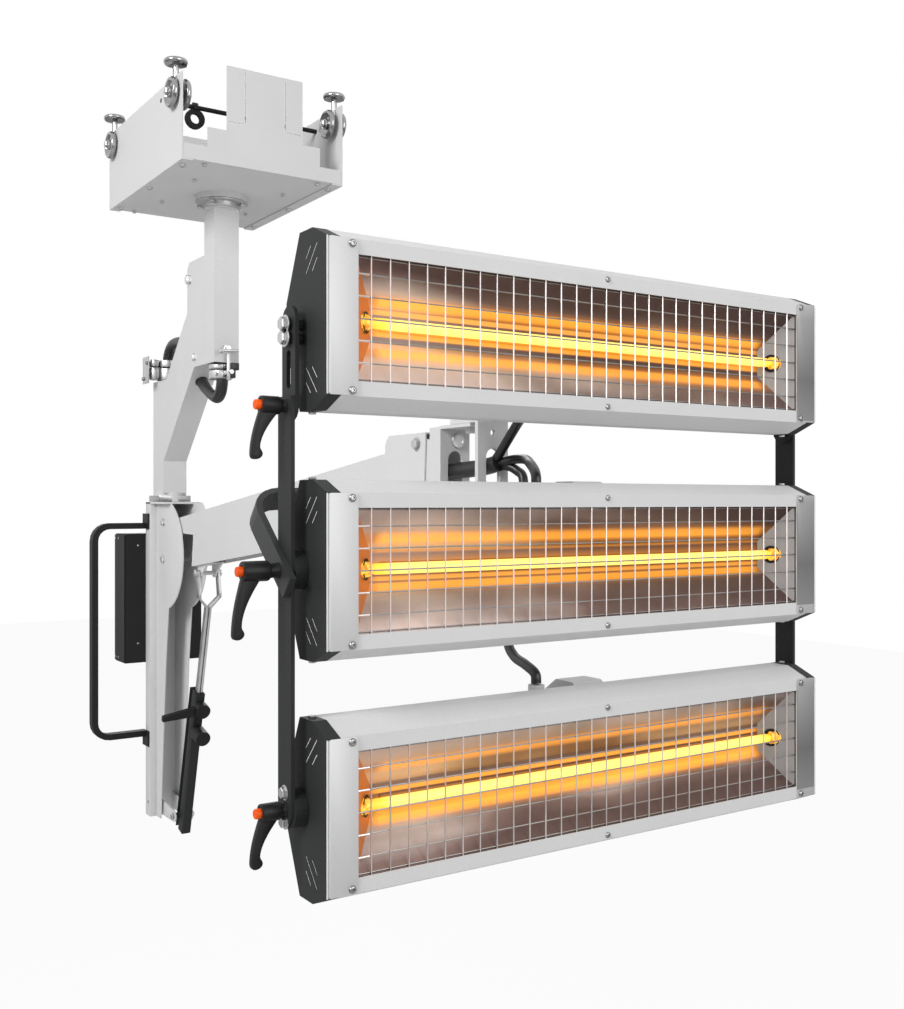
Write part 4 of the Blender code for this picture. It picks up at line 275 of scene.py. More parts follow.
def moulding(name, colour, roughness=0.42, grain_scale=900.0):
    """Moulded plastic with a fine spark-eroded grain."""
    finish = Finish(name, roughness)
    finish.set("Specular IOR Level", 0.22)
    grain = finish.noise(grain_scale, 2.0)
    wear = finish.noise(35.0, 4.0)
    finish.colour(finish.ramp(wear, shades(colour, (0.30, 0.85), (0.70, 1.20))))
    finish.rough(finish.span(wear, 0.3, 0.7, roughness - 0.06, roughness + 0.08))
    finish.bump(grain, 0.12, 0.0002)
    return finish.material


def sheath(name, colour):
    """Smooth rubber cable sheath with a soft sheen and dull streaks."""
    finish = Finish(name, 0.36)
    streaks = finish.noise(60.0, 4.0, (1.0, 0.35, 0.35))
    finish.colour(finish.ramp(streaks, shades(colour, (0.30, 0.8), (0.75, 1.9))))
    finish.rough(finish.span(streaks, 0.3, 0.75, 0.30, 0.48))
    finish.bump(finish.noise(700.0, 2.0), 0.08, 0.0002)
    return finish.material


def plated(name, colour, roughness, brushed=0.0):
    """Plated steel: cloudy roughness, and fine brush lines where brushed is set."""
    finish = Finish(name, roughness, 1.0)
    clouds = finish.noise(22.0, 1.0)
    finish.colour(finish.ramp(clouds, shades(colour, (0.30, 0.90), (0.70, 1.06))))
    finish.rough(finish.span(clouds, 0.3, 0.7, roughness - 0.04, roughness + 0.08))
    if brushed:
        finish.bump(finish.noise(260.0, 3.0), brushed, 0.0002)
    return finish.material


def lamp_glow(name, colour):
    """Burning tube: pale yellow in the middle, orange towards its ends, with faint turns of the filament."""
    finish = Finish(name, 0.35)
    along = finish.math("ABSOLUTE", finish.axes()["X"])
    turns = finish.noise(70.0, 1.0, (1.0, 0.1, 0.1))
    heat = finish.span(along, 0.315, 0.350, 1.0, 0.35)
    tone = finish.ramp(heat, [(0.3, (1.0, 0.40, 0.01)), (0.7, (1.0, 0.62, 0.03)), (1.0, colour)])
    finish.colour((0.9, 0.60, 0.10))
    finish.glow(tone, finish.span(turns, 0.3, 0.7, 0.92, 1.10))
    return finish.material


def tube_lit_cap(name):
    """End cap of a lamp, with the tube's yellow light painted on it as colour and glow."""
    finish = Finish(name, 0.40)
    cells = finish.noise(160.0, 2.0)
    # Painted light of the tube: a yellow-orange colour and a glow, though the cap is no lamp
    finish.colour(finish.ramp(cells, [(0.35, (0.55, 0.25, 0.02)), (0.65, (0.85, 0.60, 0.15))]))
    finish.glow(finish.ramp(cells, [(0.38, (0.75, 0.22, 0.005)), (0.60, (1.0, 0.62, 0.04))]), 0.75)
    return finish.material


# The reflector's trough: half its length and half its height, at its mouth and at its back
MOUTH = (0.3773, 0.0730)
BACK = (0.3380, 0.0200)

# Painted reflections of the tube on the trough's walls, as (height above the middle, power), and the painted shade and
# light added at its two rims
BAND_REACH = 0.075
TUBE_REFLECTION_BANDS = {
    "top": [(-0.050, 0.0), (-0.043, 0.15), (-0.0375, 0.75), (-0.0303, 0.80), (-0.026, 0.10), (-0.0175, 0.0),
            (-0.0139, 0.0), (-0.0117, 0.75), (-0.0069, 0.80), (0.0, 0.5), (0.0123, 0.0), (0.0141, 0.70),
            (0.0183, 0.75), (0.0205, 0.20), (0.0245, 0.85), (0.0311, 1.0), (0.0345, 0.15), (0.040, 0.0)],
    "middle": [(-0.0329, 0.0), (-0.0289, 0.12), (-0.0251, 0.75), (-0.0197, 0.85), (-0.0165, 0.10), (-0.0149, 0.75),
               (-0.0115, 0.75), (-0.0090, 0.10), (0.0, 0.5), (0.0169, 0.05), (0.0201, 0.45), (0.0225, 0.05),
               (0.0277, 0.20), (0.0323, 0.85), (0.0395, 0.75), (0.0449, 0.12), (0.054, 0.0)],
    "bottom": [(-0.0341, 0.0), (-0.0299, 0.15), (-0.0265, 0.75), (-0.0203, 1.0), (-0.0141, 0.85), (-0.0100, 0.60),
               (0.0, 0.5), (0.0073, 0.0), (0.0089, 0.75), (0.0127, 0.80), (0.0145, 0.05), (0.0347, 0.03),
               (0.0399, 0.60), (0.0451, 0.75), (0.0520, 0.12), (0.062, 0.0)],
}
RIM_SHADING = {"top": (-0.24, 0.08), "middle": (-0.12, -0.08), "bottom": (0.22, -0.22)}

# The shading on the right end plates: a height where it starts, and how often it comes in a metre
SHADING_START = -0.691
SHADING_REPEAT = 3.584


def mirror_coat(name, colour, place, seed):
    """Bronzed mirror: silvery and brown clouds with painted light on the left fading to painted shade on the right,
    painted shade and light at the rims, a back strip painted dark as shade, painted glowing reflections of the tube
    beside it, the tube's orange light painted on the left end, and a grey right end.
    """
    finish = Finish(name, 0.36, 0.80)
    axes = finish.axes()
    length = finish.math("ABSOLUTE", axes["X"])
    rise = finish.math("SUBTRACT", axes["Z"], cassette_centre(place))
    height = finish.math("ABSOLUTE", rise)
    clouds = finish.noise(9.0, 2.0, (0.35, 1.0, 1.3), (seed, 0.0, 0.0))
    grain = finish.noise(900.0, 2.0)
    upper, lower = RIM_SHADING[place]
    # Painted light on the left fading to painted shade on the right, and the rims' painted shade and light, added to
    # the clouds
    tone = clouds
    for part in (finish.span(axes["X"], -0.38, 0.30, 0.18, -0.15), finish.span(rise, 0.036, 0.066, 0.0, upper),
                 finish.span(rise, -0.066, -0.036, lower, 0.0), finish.span(grain, 0.2, 0.8, -0.03, 0.03)):
        tone = finish.math("ADD", tone, part)
    ground = finish.ramp(tone, [(0.30, (0.13, 0.082, 0.072)), (0.46, (0.23, 0.155, 0.138)), (0.60, tuple(colour)),
                                (0.74, shade(colour, 1.6))])
    # The narrow back strip is painted dark as shade
    strip = finish.span(height, 0.0195, 0.0215, 1.0, 0.0)
    ground = finish.blend(finish.math("MULTIPLY", strip, 0.75), ground, (0.06, 0.035, 0.03))
    # The end walls are where the slope from the ends is nearer than the slope from the rims
    from_end = finish.math("DIVIDE", finish.math("SUBTRACT", MOUTH[0], length), MOUTH[0] - BACK[0])
    from_rim = finish.math("DIVIDE", finish.math("SUBTRACT", MOUTH[1], height), MOUTH[1] - BACK[1])
    ends = finish.span(finish.math("SUBTRACT", finish.math("MINIMUM", from_rim, 1.0), from_end), -0.01, 0.01)
    # The left end wall is painted orange with the tube's light and glows; the right end stays grey
    left = finish.span(axes["X"], -0.001, 0.001, 1.0, 0.0)
    end_painted_light = finish.blend(left, (0.36, 0.34, 0.33), (0.55, 0.20, 0.07))
    # Painted reflections of the tube: a tint and a power at each height, mixed into the walls' colour
    spot = finish.span(rise, -BAND_REACH, BAND_REACH)
    bands = [((level + BAND_REACH) / (2 * BAND_REACH), power) for level, power in TUBE_REFLECTION_BANDS[place]]
    reflection_tint = finish.ramp(spot, [(at, (0.95, 0.26 + 0.16 * power, 0.012 + 0.03 * power)) for at, power in bands])
    power = finish.ramp(spot, [(at, (power, power, power)) for at, power in bands])
    walls = finish.blend(finish.math("MULTIPLY", power, 0.85), ground, (0.72, 0.30, 0.05))
    finish.colour(finish.blend(ends, walls, end_painted_light))
    # The painted reflections glow, faded towards the ends, and so does the painted light on the left end wall
    fade = finish.span(length, 0.326, 0.340, 1.0, 0.0)
    wave = finish.span(clouds, 0.3, 0.7, 0.75, 1.0)
    strength = finish.math("ADD", finish.product(power, fade, wave, 0.88), finish.product(ends, left, 0.22))
    finish.glow(finish.blend(ends, reflection_tint, (0.80, 0.24, 0.04)), strength)
    finish.rough(finish.span(clouds, 0.3, 0.7, 0.44, 0.54))
    return finish.material


def end_plate_coat(name, colour):
    """Brushed end plate: pale on the left, shaded on the right from its top to its foot."""
    finish = Finish(name, 0.55, 0.35)
    axes = finish.axes()
    right = finish.span(axes["X"], -0.001, 0.001)
    repeat = finish.math("FRACT", finish.product(finish.math("SUBTRACT", axes["Z"], SHADING_START), SHADING_REPEAT))
    darker = finish.ramp(repeat, shades(colour, (0.0, 0.45), (0.22, 0.26), (0.55, 0.55), (0.64, 0.85)))
    grain = finish.span(finish.noise(700.0, 2.0), 0.3, 0.7, 0.0, 0.12)
    finish.colour(finish.blend(grain, finish.blend(right, colour, darker), (0.2, 0.2, 0.2)))
    finish.bump(finish.noise(500.0, 2.0, (1.0, 1.0, 0.08)), 0.10, 0.0002)
    return finish.material


# Modelling helpers


def clear_selection():
    """Object mode with nothing selected."""
    active = bpy.context.view_layer.objects.active
    if active is not None and active.mode != "OBJECT":
        bpy.ops.object.mode_set(mode="OBJECT")
    bpy.ops.object.select_all(action="DESELECT")


def only(obj):
    """Selects one object and makes it active."""
    clear_selection()
    obj.select_set(True)
    bpy.context.view_layer.objects.active = obj
    return obj


def settle(obj, name, coat, body, replaced=(), angle=35.0):
    """Freezes a finished piece's place, names it, coats it and hangs it on its body."""
    only(obj)
    bpy.ops.object.transform_apply(location=True, rotation=True, scale=True)
    bpy.ops.object.mode_set(mode="EDIT")
    bpy.ops.mesh.select_all(action="SELECT")
    bpy.ops.mesh.normals_make_consistent(inside=False)
    bpy.ops.object.mode_set(mode="OBJECT")
    bpy.ops.object.shade_smooth_by_angle(angle=math.radians(angle))
    obj.name = name
    obj.data.name = name
    obj.data.materials.clear()
    obj.data.materials.append(coats()[coat])
    if body:
        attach(obj, body)
    if replaced:
        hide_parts(*replaced)
    return obj


def joined(pieces):
    """Several objects joined into the first."""
    clear_selection()
    for piece in pieces:
        piece.select_set(True)
    bpy.context.view_layer.objects.active = pieces[0]
    if len(pieces) > 1:
        bpy.ops.object.join()
    return pieces[0]


def turned(profile, sides=48):
    """A solid of revolution about Z, drawn from its first radius and height to its last."""
    clear_selection()
    radius, height = profile[0]
    bpy.ops.mesh.primitive_circle_add(vertices=sides, radius=radius, fill_type="NGON", location=(0.0, 0.0, 0.0))
    obj = bpy.context.object
    bpy.ops.object.mode_set(mode="EDIT")
    bpy.ops.mesh.select_all(action="SELECT")
    bpy.ops.transform.translate(value=(0.0, 0.0, height))
    for next_radius, next_height in profile[1:]:
        bpy.ops.mesh.extrude_region_move(TRANSFORM_OT_translate={"value": (0.0, 0.0, next_height - height)})
        share = next_radius / radius
        bpy.ops.transform.resize(value=(share, share, 1.0), center_override=(0.0, 0.0, next_height))
        radius, height = next_radius, next_height
    bpy.ops.object.mode_set(mode="OBJECT")
    return obj


def slab(low, high, bevel=0.0, segments=2):
    """A box between two corners with its edges rounded."""
    clear_selection()
    size = [b - a for a, b in zip(low, high)]
    middle = [(a + b) / 2 for a, b in zip(low, high)]
    bpy.ops.mesh.primitive_cube_add(size=1.0, location=middle, scale=size)
    obj = bpy.context.object
    bpy.ops.object.transform_apply(location=True, rotation=True, scale=True)
    if bevel:
        bpy.ops.object.mode_set(mode="EDIT")
        bpy.ops.mesh.select_all(action="SELECT")
        bpy.ops.mesh.bevel(offset=bevel, segments=segments, affect="EDGES")
        bpy.ops.object.mode_set(mode="OBJECT")
    return obj


def sheet_from(outline, axis, low, high, bevel=0.0):
    """A plate cut to an outline, extruded along X, Y or Z and lightly rounded at its rims."""
    clear_selection()
    bpy.ops.mesh.primitive_circle_add(vertices=len(outline), radius=1.0, fill_type="NGON", location=(0.0, 0.0, 0.0))
    obj = bpy.context.object
    place = {"X": lambda a, b: (low, a, b), "Y": lambda a, b: (a, low, b), "Z": lambda a, b: (a, b, low)}[axis]
    for vertex, (a, b) in zip(obj.data.vertices, outline):
        vertex.co = place(a, b)
    step = {"X": (high - low, 0.0, 0.0), "Y": (0.0, high - low, 0.0), "Z": (0.0, 0.0, high - low)}[axis]
    bpy.ops.object.mode_set(mode="EDIT")
    bpy.ops.mesh.select_all(action="SELECT")
    bpy.ops.mesh.extrude_region_move(TRANSFORM_OT_translate={"value": step})
    if bevel:
        bpy.ops.mesh.select_all(action="SELECT")
        bpy.ops.mesh.bevel(offset=bevel, segments=2, affect="EDGES", clamp_overlap=True)
    bpy.ops.object.mode_set(mode="OBJECT")
    return obj


def rounded(points, radius, steps=5):
    """An outline with each corner turned into an arc."""
    spots = []
    count = len(points)
    for index in range(count):
        here = Vector(points[index])
        before = Vector(points[index - 1]) - here
        after = Vector(points[(index + 1) % count]) - here
        reach = min(radius, before.length * 0.49, after.length * 0.49)
        start = here + before.normalized() * reach
        end = here + after.normalized() * reach
        for step in range(steps + 1):
            share = step / steps
            spots.append(tuple(start * (1 - share) ** 2 + here * 2 * share * (1 - share) + end * share ** 2))
    return spots


SIDES = (-1, 1)
LEFT, RIGHT = (-1.0, 0.0, 0.0), (1.0, 0.0, 0.0)
DOWN, UP = (0.0, 0.0, -1.0), (0.0, 0.0, 1.0)
FORWARD = (0.0, -1.0, 0.0)


def duplicate(master):
    """A copy of a piece with its own mesh."""
    piece = master.copy()
    piece.data = master.data.copy()
    bpy.context.collection.objects.link(piece)
    return piece


def copies(master, places):
    """Copies of a piece modelled about Z, given by their point, the direction that Z turns to, and scale."""
    made = []
    for point, direction, scale in places:
        piece = duplicate(master)
        piece.rotation_mode = "QUATERNION"
        piece.rotation_quaternion = Vector(direction).to_track_quat("Z", "Y")
        piece.location = point
        piece.scale = (scale, scale, scale)
        made.append(piece)
    return made


def facing(points, direction, scale=1.0):
    """Places for copies that all face one way."""
    return [(point, direction, scale) for point in points]


def both_sides(x, spots, scale=1.0):
    """Places for copies at X and -X that face outwards, given by their (y, z)."""
    return [((side * x, y, z), (side, 0.0, 0.0), scale) for side in SIDES for y, z in spots]


def discard(*masters):
    """Removes the pieces that were only there to be copied."""
    for master in masters:
        bpy.data.objects.remove(master, do_unlink=True)


def repeated(master, places):
    """A piece's copies as one object; the piece itself goes."""
    made = joined(copies(master, places))
    discard(master)
    return made


def along_x(piece, centre, way=1):
    """Lays a piece that was modelled about Z along X, about a centre."""
    piece.rotation_euler = (0.0, way * math.radians(90), 0.0)
    piece.location = centre
    return piece


def smooth_route(points, steps):
    """Points of a smooth curve through the given points."""
    spots = [Vector(point) for point in points]
    padded = [spots[0] * 2 - spots[1]] + spots + [spots[-1] * 2 - spots[-2]]
    route = []
    for before, start, end, after in zip(padded, padded[1:], padded[2:], padded[3:]):
        for step in range(steps):
            t = step / steps
            route.append(0.5 * (2 * start + (end - before) * t + (2 * before - 5 * start + 4 * end - after) * t * t
                                + (3 * start - before - 3 * end + after) * t ** 3))
    route.append(spots[-1])
    return route


def tube(points, radius, steps=5, resolution=5):
    """A round tube swept along a smooth route, as a mesh with closed ends."""
    clear_selection()
    bpy.ops.curve.primitive_nurbs_path_add(location=(0.0, 0.0, 0.0))
    obj = bpy.context.object
    curve = obj.data
    route = smooth_route(points, steps) if steps > 1 else [Vector(point) for point in points]
    curve.splines.clear()
    spline = curve.splines.new("POLY")
    spline.points.add(len(route) - 1)
    for point, spot in zip(spline.points, route):
        point.co = (*spot, 1.0)
    curve.bevel_depth = radius
    curve.bevel_resolution = resolution
    curve.use_fill_caps = True
    bpy.ops.object.convert(target="MESH")
    bpy.ops.object.mode_set(mode="EDIT")
    bpy.ops.mesh.select_all(action="SELECT")
    bpy.ops.mesh.remove_doubles(threshold=0.000005)
    bpy.ops.mesh.normals_make_consistent(inside=False)
    bpy.ops.object.mode_set(mode="OBJECT")
    return bpy.context.object


# Fasteners, each modelled once about Z with its seat at the origin

# Profiles in shares of the radius and of the height, with the number of sides
HEADS = {
    "pan": ([(0.96, 0.0), (1.0, 0.18), (0.97, 0.45), (0.85, 0.74), (0.62, 0.94), (0.42, 1.0), (0.36, 0.96),
             (0.24, 0.45)], 28),
    "socket": ([(0.97, 0.0), (1.0, 0.06), (1.0, 0.86), (0.92, 1.0), (0.52, 1.0), (0.50, 0.96), (0.48, 0.40)], 30),
    "rivet": ([(1.0, 0.0), (0.97, 0.35), (0.80, 0.72), (0.48, 0.94), (0.12, 1.0)], 24),
    "hexagon": ([(0.93, 0.0), (1.0, 0.12), (1.0, 0.82), (0.86, 1.0)], 6),
}


def head(kind, radius, height):
    """Head of a fastener: domed with a recess, a cylinder with a socket, a low dome, or a chamfered hexagon."""
    profile, sides = HEADS[kind]
    return turned([(radius * across, height * up) for across, up in profile], sides)


def hex_bolt(radius, height):
    """Hexagon head on a washer."""
    top = head("hexagon", radius, height)
    top.location.z = 0.0012
    ring = [(radius * 1.25, 0.0), (radius * 1.32, 0.0003), (radius * 1.32, 0.0010), (radius * 1.22, 0.0013)]
    return joined([top, turned(ring, 32)])


# Pieces of a cassette

# The wires' half lengths, the first upright's place, and the heights of the level wires and of their bright ends
UPRIGHT_HALF = 0.0749
LEVEL_HALF = 0.3788
FIRST_UPRIGHT = -0.358
GUARD_ROWS = (-0.0705, -0.0512, -0.0256, 0.0, 0.0256, 0.0512, 0.0705)
STUB_ROWS = (-0.0512, -0.0256, 0.0256, 0.0512)
# The end plates' half height and their gap to the case, the screws in plates and rims, and the nuts on the caps
PLATE_HALF = 0.0895
PLATE_GAP = 0.0004
PLATE_SCREW_X = 0.3850
PLATE_SCREW_RISE = 0.0838
RIM_SCREW_RISE = 0.0845
CAP_NUT_X = 0.4080
CAP_NUT_Y = -1.2830
# The vents' slant, their distance from the middle, and the step between them
VENT_TURN = math.radians(42)
VENT_X = 0.4161
VENT_RISE = 0.0700
VENT_STEP = 0.0082


def lamp_front():
    """The plane of the cassettes' fronts, along Y."""
    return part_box("housing_middle")[0].y


def cassette_centre(place):
    """Height of a cassette's middle."""
    low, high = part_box("cap_left_" + place)
    return (low.z + high.z) / 2


def wire(heights, radius):
    """A straight wire along Z through the given heights."""
    return tube([(0.0, 0.0, height) for height in heights], radius, 1, 2)


def build_guard(place):
    """Welded wire guard: bright uprights in front of level wires of the same wire painted darker as shade, behind the
    window's rim; the level wires' short left ends keep the bright wire.
    """
    size = sizes()
    centre = cassette_centre(place)
    upright = wire((-UPRIGHT_HALF, 0.0, UPRIGHT_HALF), size.wire)
    level = wire((-LEVEL_HALF, 0.0, LEVEL_HALF), size.wire * 0.9)
    stub = wire((-LEVEL_HALF, -0.3680, -0.3600), size.wire * 1.25)
    upright_y = lamp_front() + size.upright_depth + size.wire * 0.8
    level_y = lamp_front() + size.level_depth
    across = [FIRST_UPRIGHT + index * size.wire_pitch for index in range(size.wire_count)]
    uprights = facing([(x, upright_y, centre) for x in across], UP)
    levels = facing([(0.0, level_y + size.wire * 0.8, centre + row) for row in GUARD_ROWS], RIGHT)
    stubs = facing([(0.0, level_y - size.wire * 0.6, centre + row) for row in STUB_ROWS], RIGHT)
    front_wires = joined(copies(upright, uprights) + copies(stub, stubs))
    rear_wires = joined(copies(level, levels))
    discard(upright, level, stub)
    settle(front_wires, "guard_uprights_" + place, "wire", "cassette_" + place, ["grille_" + place])
    settle(rear_wires, "guard_levels_" + place, "level_wire_painted_shade", "cassette_" + place)


def build_reflector(place):
    """Pressed trough: flange behind the window's rim, four sloping walls and a narrow back with a raised rib."""
    front = lamp_front()
    centre = cassette_centre(place)
    flange = 0.0022
    depth = 0.0380
    rib = 0.0022
    clear_selection()
    bpy.ops.mesh.primitive_plane_add(size=2.0, location=(0.0, 0.0, 0.0), rotation=(math.radians(90), 0.0, 0.0))
    made = bpy.context.object
    made.scale = (MOUTH[0] + flange, MOUTH[1] + flange, 1.0)
    made.location = (0.0, front + 0.0044, centre)
    bpy.ops.object.transform_apply(location=True, rotation=True, scale=True)
    middle = (0.0, front, centre)
    bpy.ops.object.mode_set(mode="EDIT")
    bpy.ops.mesh.select_all(action="SELECT")
    bpy.ops.mesh.inset(thickness=flange)
    bpy.ops.mesh.extrude_region_move(TRANSFORM_OT_translate={"value": (0.0, depth, 0.0)})
    bpy.ops.transform.resize(value=(BACK[0] / MOUTH[0], 1.0, BACK[1] / MOUTH[1]), center_override=middle)
    bpy.ops.mesh.inset(thickness=0.0125)
    bpy.ops.mesh.extrude_region_move(TRANSFORM_OT_translate={"value": (0.0, -rib, 0.0)})
    bpy.ops.transform.resize(value=(0.997, 1.0, 0.80), center_override=middle)
    bpy.ops.object.mode_set(mode="OBJECT")
    sheet = made.modifiers.new("sheet", "SOLIDIFY")
    sheet.thickness = 0.0006
    bpy.ops.object.modifier_apply(modifier="sheet")
    settle(made, "reflector_trough_" + place, "mirror_" + place, "cassette_" + place, ["reflector_" + place], 25.0)


def build_end_plates(place):
    """Satin end plates over the caps' fronts, each with a folded bright lip at its outer edge."""
    size = sizes()
    front = lamp_front()
    centre = cassette_centre(place)
    low, high = centre - PLATE_HALF, centre + PLATE_HALF
    plates = []
    lips = []
    for side in SIDES:
        inner = side * size.plate_inner
        outer = side * (size.plate_outer - 0.0026)
        corners = rounded([(inner, low), (outer, low), (outer, high), (inner, high)], 0.0035, 4)
        plates.append(sheet_from(corners, "Y", front - size.plate - PLATE_GAP, front - PLATE_GAP, 0.0003))
        near, far = sorted((side * (size.plate_outer - 0.0022), side * size.plate_outer))
        lips.append(slab((near, front - 0.0021, centre - 0.0893), (far, front - 0.0003, centre + 0.0893), 0.0007))
    settle(joined(plates), "end_plates_" + place, "end_plate", "cassette_" + place)
    settle(joined(lips), "end_lips_" + place, "light", "cassette_" + place)


def build_case_screws(place):
    """Screws in the end plates and in the middle of the housing's rims, and nuts on the flats of the caps."""
    size = sizes()
    front = lamp_front()
    centre = cassette_centre(place)
    low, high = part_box("cap_left_" + place)
    face = front - size.plate - PLATE_GAP
    spots = facing([(side * PLATE_SCREW_X, face, centre + way * PLATE_SCREW_RISE) for side in SIDES for way in SIDES],
                   FORWARD)
    spots += facing([(0.0, front, centre + way * RIM_SCREW_RISE) for way in SIDES], FORWARD, 0.85)
    screws = repeated(head("pan", size.screw, 0.0028), spots)
    settle(screws, "case_screws_" + place, "screw", "cassette_" + place)
    ends = ((low.z, DOWN), (high.z, UP))
    spots = [((side * CAP_NUT_X, CAP_NUT_Y, z), way, 1.0) for side in SIDES for z, way in ends]
    nuts = repeated(head("hexagon", 0.0046, 0.0036), spots)
    settle(nuts, "cap_nuts_" + place, "steel", "cassette_" + place)


def build_vent_glints(place):
    """Pale strips in the slanted vents of both caps: painted light where light shows through the vents."""
    y = lamp_front() + 0.0390
    centre = cassette_centre(place)
    pieces = []
    for length, steps in ((0.0188, (-VENT_STEP, VENT_STEP)), (0.0418, (0.0,))):
        strip = slab((-0.0004, -0.0007, -length / 2), (0.0004, 0.0007, length / 2))
        for side in SIDES:
            for group in SIDES:
                for step in steps:
                    piece = duplicate(strip)
                    piece.rotation_euler = (group * VENT_TURN, 0.0, 0.0)
                    piece.location = (side * VENT_X, y + step, centre + group * (VENT_RISE + step))
                    pieces.append(piece)
        discard(strip)
    settle(joined(pieces), "vent_glints_" + place, "light", "cassette_" + place)


HOLDER = [(0.0056, 0.0), (0.0075, 0.0004), (0.0090, 0.0016), (0.0094, 0.0034), (0.0086, 0.0046), (0.0086, 0.0060),
          (0.0102, 0.0070), (0.0104, 0.0092), (0.0090, 0.0104), (0.0090, 0.0118), (0.0102, 0.0130), (0.0100, 0.0152),
          (0.0086, 0.0170), (0.0056, 0.0182), (0.0020, 0.0186)]
PORT = [(0.0132, 0.0), (0.0132, 0.0005), (0.0124, 0.0008)]


def build_lamp(place):
    """Glowing quartz tube between two ribbed end caps, which sit in dark ports of the reflector's end walls."""
    size = sizes()
    y = lamp_front() + size.tube_depth
    z = cassette_centre(place)
    half = size.tube_half
    wide = size.tube
    narrow = wide * 0.62
    outline = [(narrow, -half - 0.006), (narrow, -half), (wide * 0.90, -half + 0.003), (wide, -half + 0.006),
               (wide, half - 0.006), (wide * 0.90, half - 0.003), (narrow, half), (narrow, half + 0.006)]
    quartz = along_x(turned(outline, 32), (0.0, y, z))
    settle(quartz, "quartz_tube_" + place, "glow", "cassette_" + place, ["lamp_" + place])
    holders = repeated(turned(HOLDER, 32), both_sides(0.3470, [(y, z)]))
    settle(holders, "lamp_holders_" + place, "holder", "cassette_" + place)
    ports = repeated(turned(PORT, 36), [((side * 0.3514, y, z), (-side * 0.695, -0.719, 0.0), 1.0) for side in SIDES])
    settle(ports, "lamp_ports_" + place, "black", "cassette_" + place)


# Levers as barrel length, collar length, barrel radius and length of the arm
LARGE_LEVER = (0.0328, 0.0116, 0.0119, 0.0674)
SMALL_LEVER = (0.0243, 0.0060, 0.0106, 0.0532)
TOE = [(0.0003, -0.0034), (0.0020, -0.0060), (0.0060, -0.0068), (0.0105, -0.0056), (0.0136, -0.0026),
       (0.0142, 0.0006), (0.0128, 0.0036), (0.0108, 0.0062)]
BUTTON = [(0.0059, -0.0055), (0.0059, 0.0050), (0.0057, 0.0060), (0.0051, 0.0067), (0.0040, 0.0070), (0.0010, 0.0070)]


def lever_outline(end, height, length):
    """Side view of a lever's arm, as (x, z): a blade that bows outwards, narrows, and swells into a turned-up toe."""
    outer = []
    inner = []
    for step in range(17):
        share = step / 16
        x = end + 0.0006 - 0.0125 * math.sin(share * math.pi * 0.47)
        width = 0.0250 - 0.0150 * math.sin(min(1.0, share * 1.15) * math.pi * 0.5)
        outer.append((x, height - length * share))
        inner.append((x + width, height - length * share))
    x, z = outer[-1]
    toe = [(x + across, z + up) for across, up in TOE]
    return outer + toe + list(reversed(inner[:-3]))


def build_clamp_lever(place):
    """Clamp lever: round barrel with a mouth for its button, waisted collar, and a curved arm below the barrel."""
    low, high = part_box("button_" + place)
    y, z = (low.y + high.y) / 2, (low.z + high.z) / 2
    end = low.x + 0.0070
    barrel, collar, radius, length = LARGE_LEVER if place == "middle" else SMALL_LEVER
    profile = [(0.0064, 0.0105), (0.0064, 0.0012), (0.0072, 0.0), (radius - 0.0016, 0.0), (radius - 0.0004, 0.0006),
               (radius, 0.0018), (radius, barrel - 0.0022), (radius - 0.0006, barrel - 0.0008), (radius * 0.84, barrel),
               (radius * 0.74, barrel + 0.0006), (radius * 0.71, barrel + collar * 0.45),
               (radius * 0.74, barrel + collar * 0.80), (radius * 0.80, barrel + collar)]
    body = turned(profile, 40)
    only(along_x(body, (end, y, z)))
    bpy.ops.object.transform_apply(location=True, rotation=True, scale=True)
    arm = sheet_from(lever_outline(end, z - radius * 0.30, length), "Y", y - 0.0047, y + 0.0047, 0.0018)
    settle(joined([body, arm]), "clamp_lever_" + place, "black", "lever_" + place, ["lever_" + place], 40.0)
    cap = along_x(turned(BUTTON, 32), (end, y, z), -1)
    settle(cap, "release_button_" + place, "orange", "button_" + place, ["button_" + place])


# Pieces of the trolley

HUB_NUT = [(0.0082, 0.0), (0.0088, 0.0008), (0.0088, 0.0052), (0.0076, 0.0062), (0.0044, 0.0063), (0.0044, 0.0070),
           (0.0038, 0.0072)]


def build_wheel_pair(number):
    """Two dished wheels with rolled rims, one on each side of the side plate, on one axle."""
    node = "wheelset_" + str(number)
    body = "wheels_" + str(number)
    low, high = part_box(node)
    middle = Vector(((low.x + high.x) / 2, (low.y + high.y) / 2, (low.z + high.z) / 2))
    radius = sizes().wheel
    profile = [(0.0074, 0.0018), (0.0074, 0.0076), (0.0120, 0.0080), (radius - 0.0052, 0.0086),
               (radius - 0.0024, 0.0092), (radius - 0.0006, 0.0112), (radius, 0.0138), (radius - 0.0006, 0.0168),
               (radius - 0.0026, 0.0194), (radius - 0.0056, 0.0202), (radius - 0.0082, 0.0192),
               (radius - 0.0108, 0.0158), (radius - 0.0148, 0.0132), (0.0125, 0.0124), (0.0118, 0.0132),
               (0.0114, 0.0200), (0.0106, 0.0214), (0.0092, 0.0220)]
    wheels = repeated(turned(profile, 56), [(middle, (side, 0.0, 0.0), 1.0) for side in SIDES])
    ends = [(middle + Vector((side * 0.0216, 0.0, 0.0)), (side, 0.0, 0.0), 1.0) for side in SIDES]
    settle(wheels, "wheel_pair_" + str(number), "chrome", body, [node], 30.0)
    settle(repeated(turned(HUB_NUT, 6), ends), "axle_nuts_" + str(number), "zinc", body)


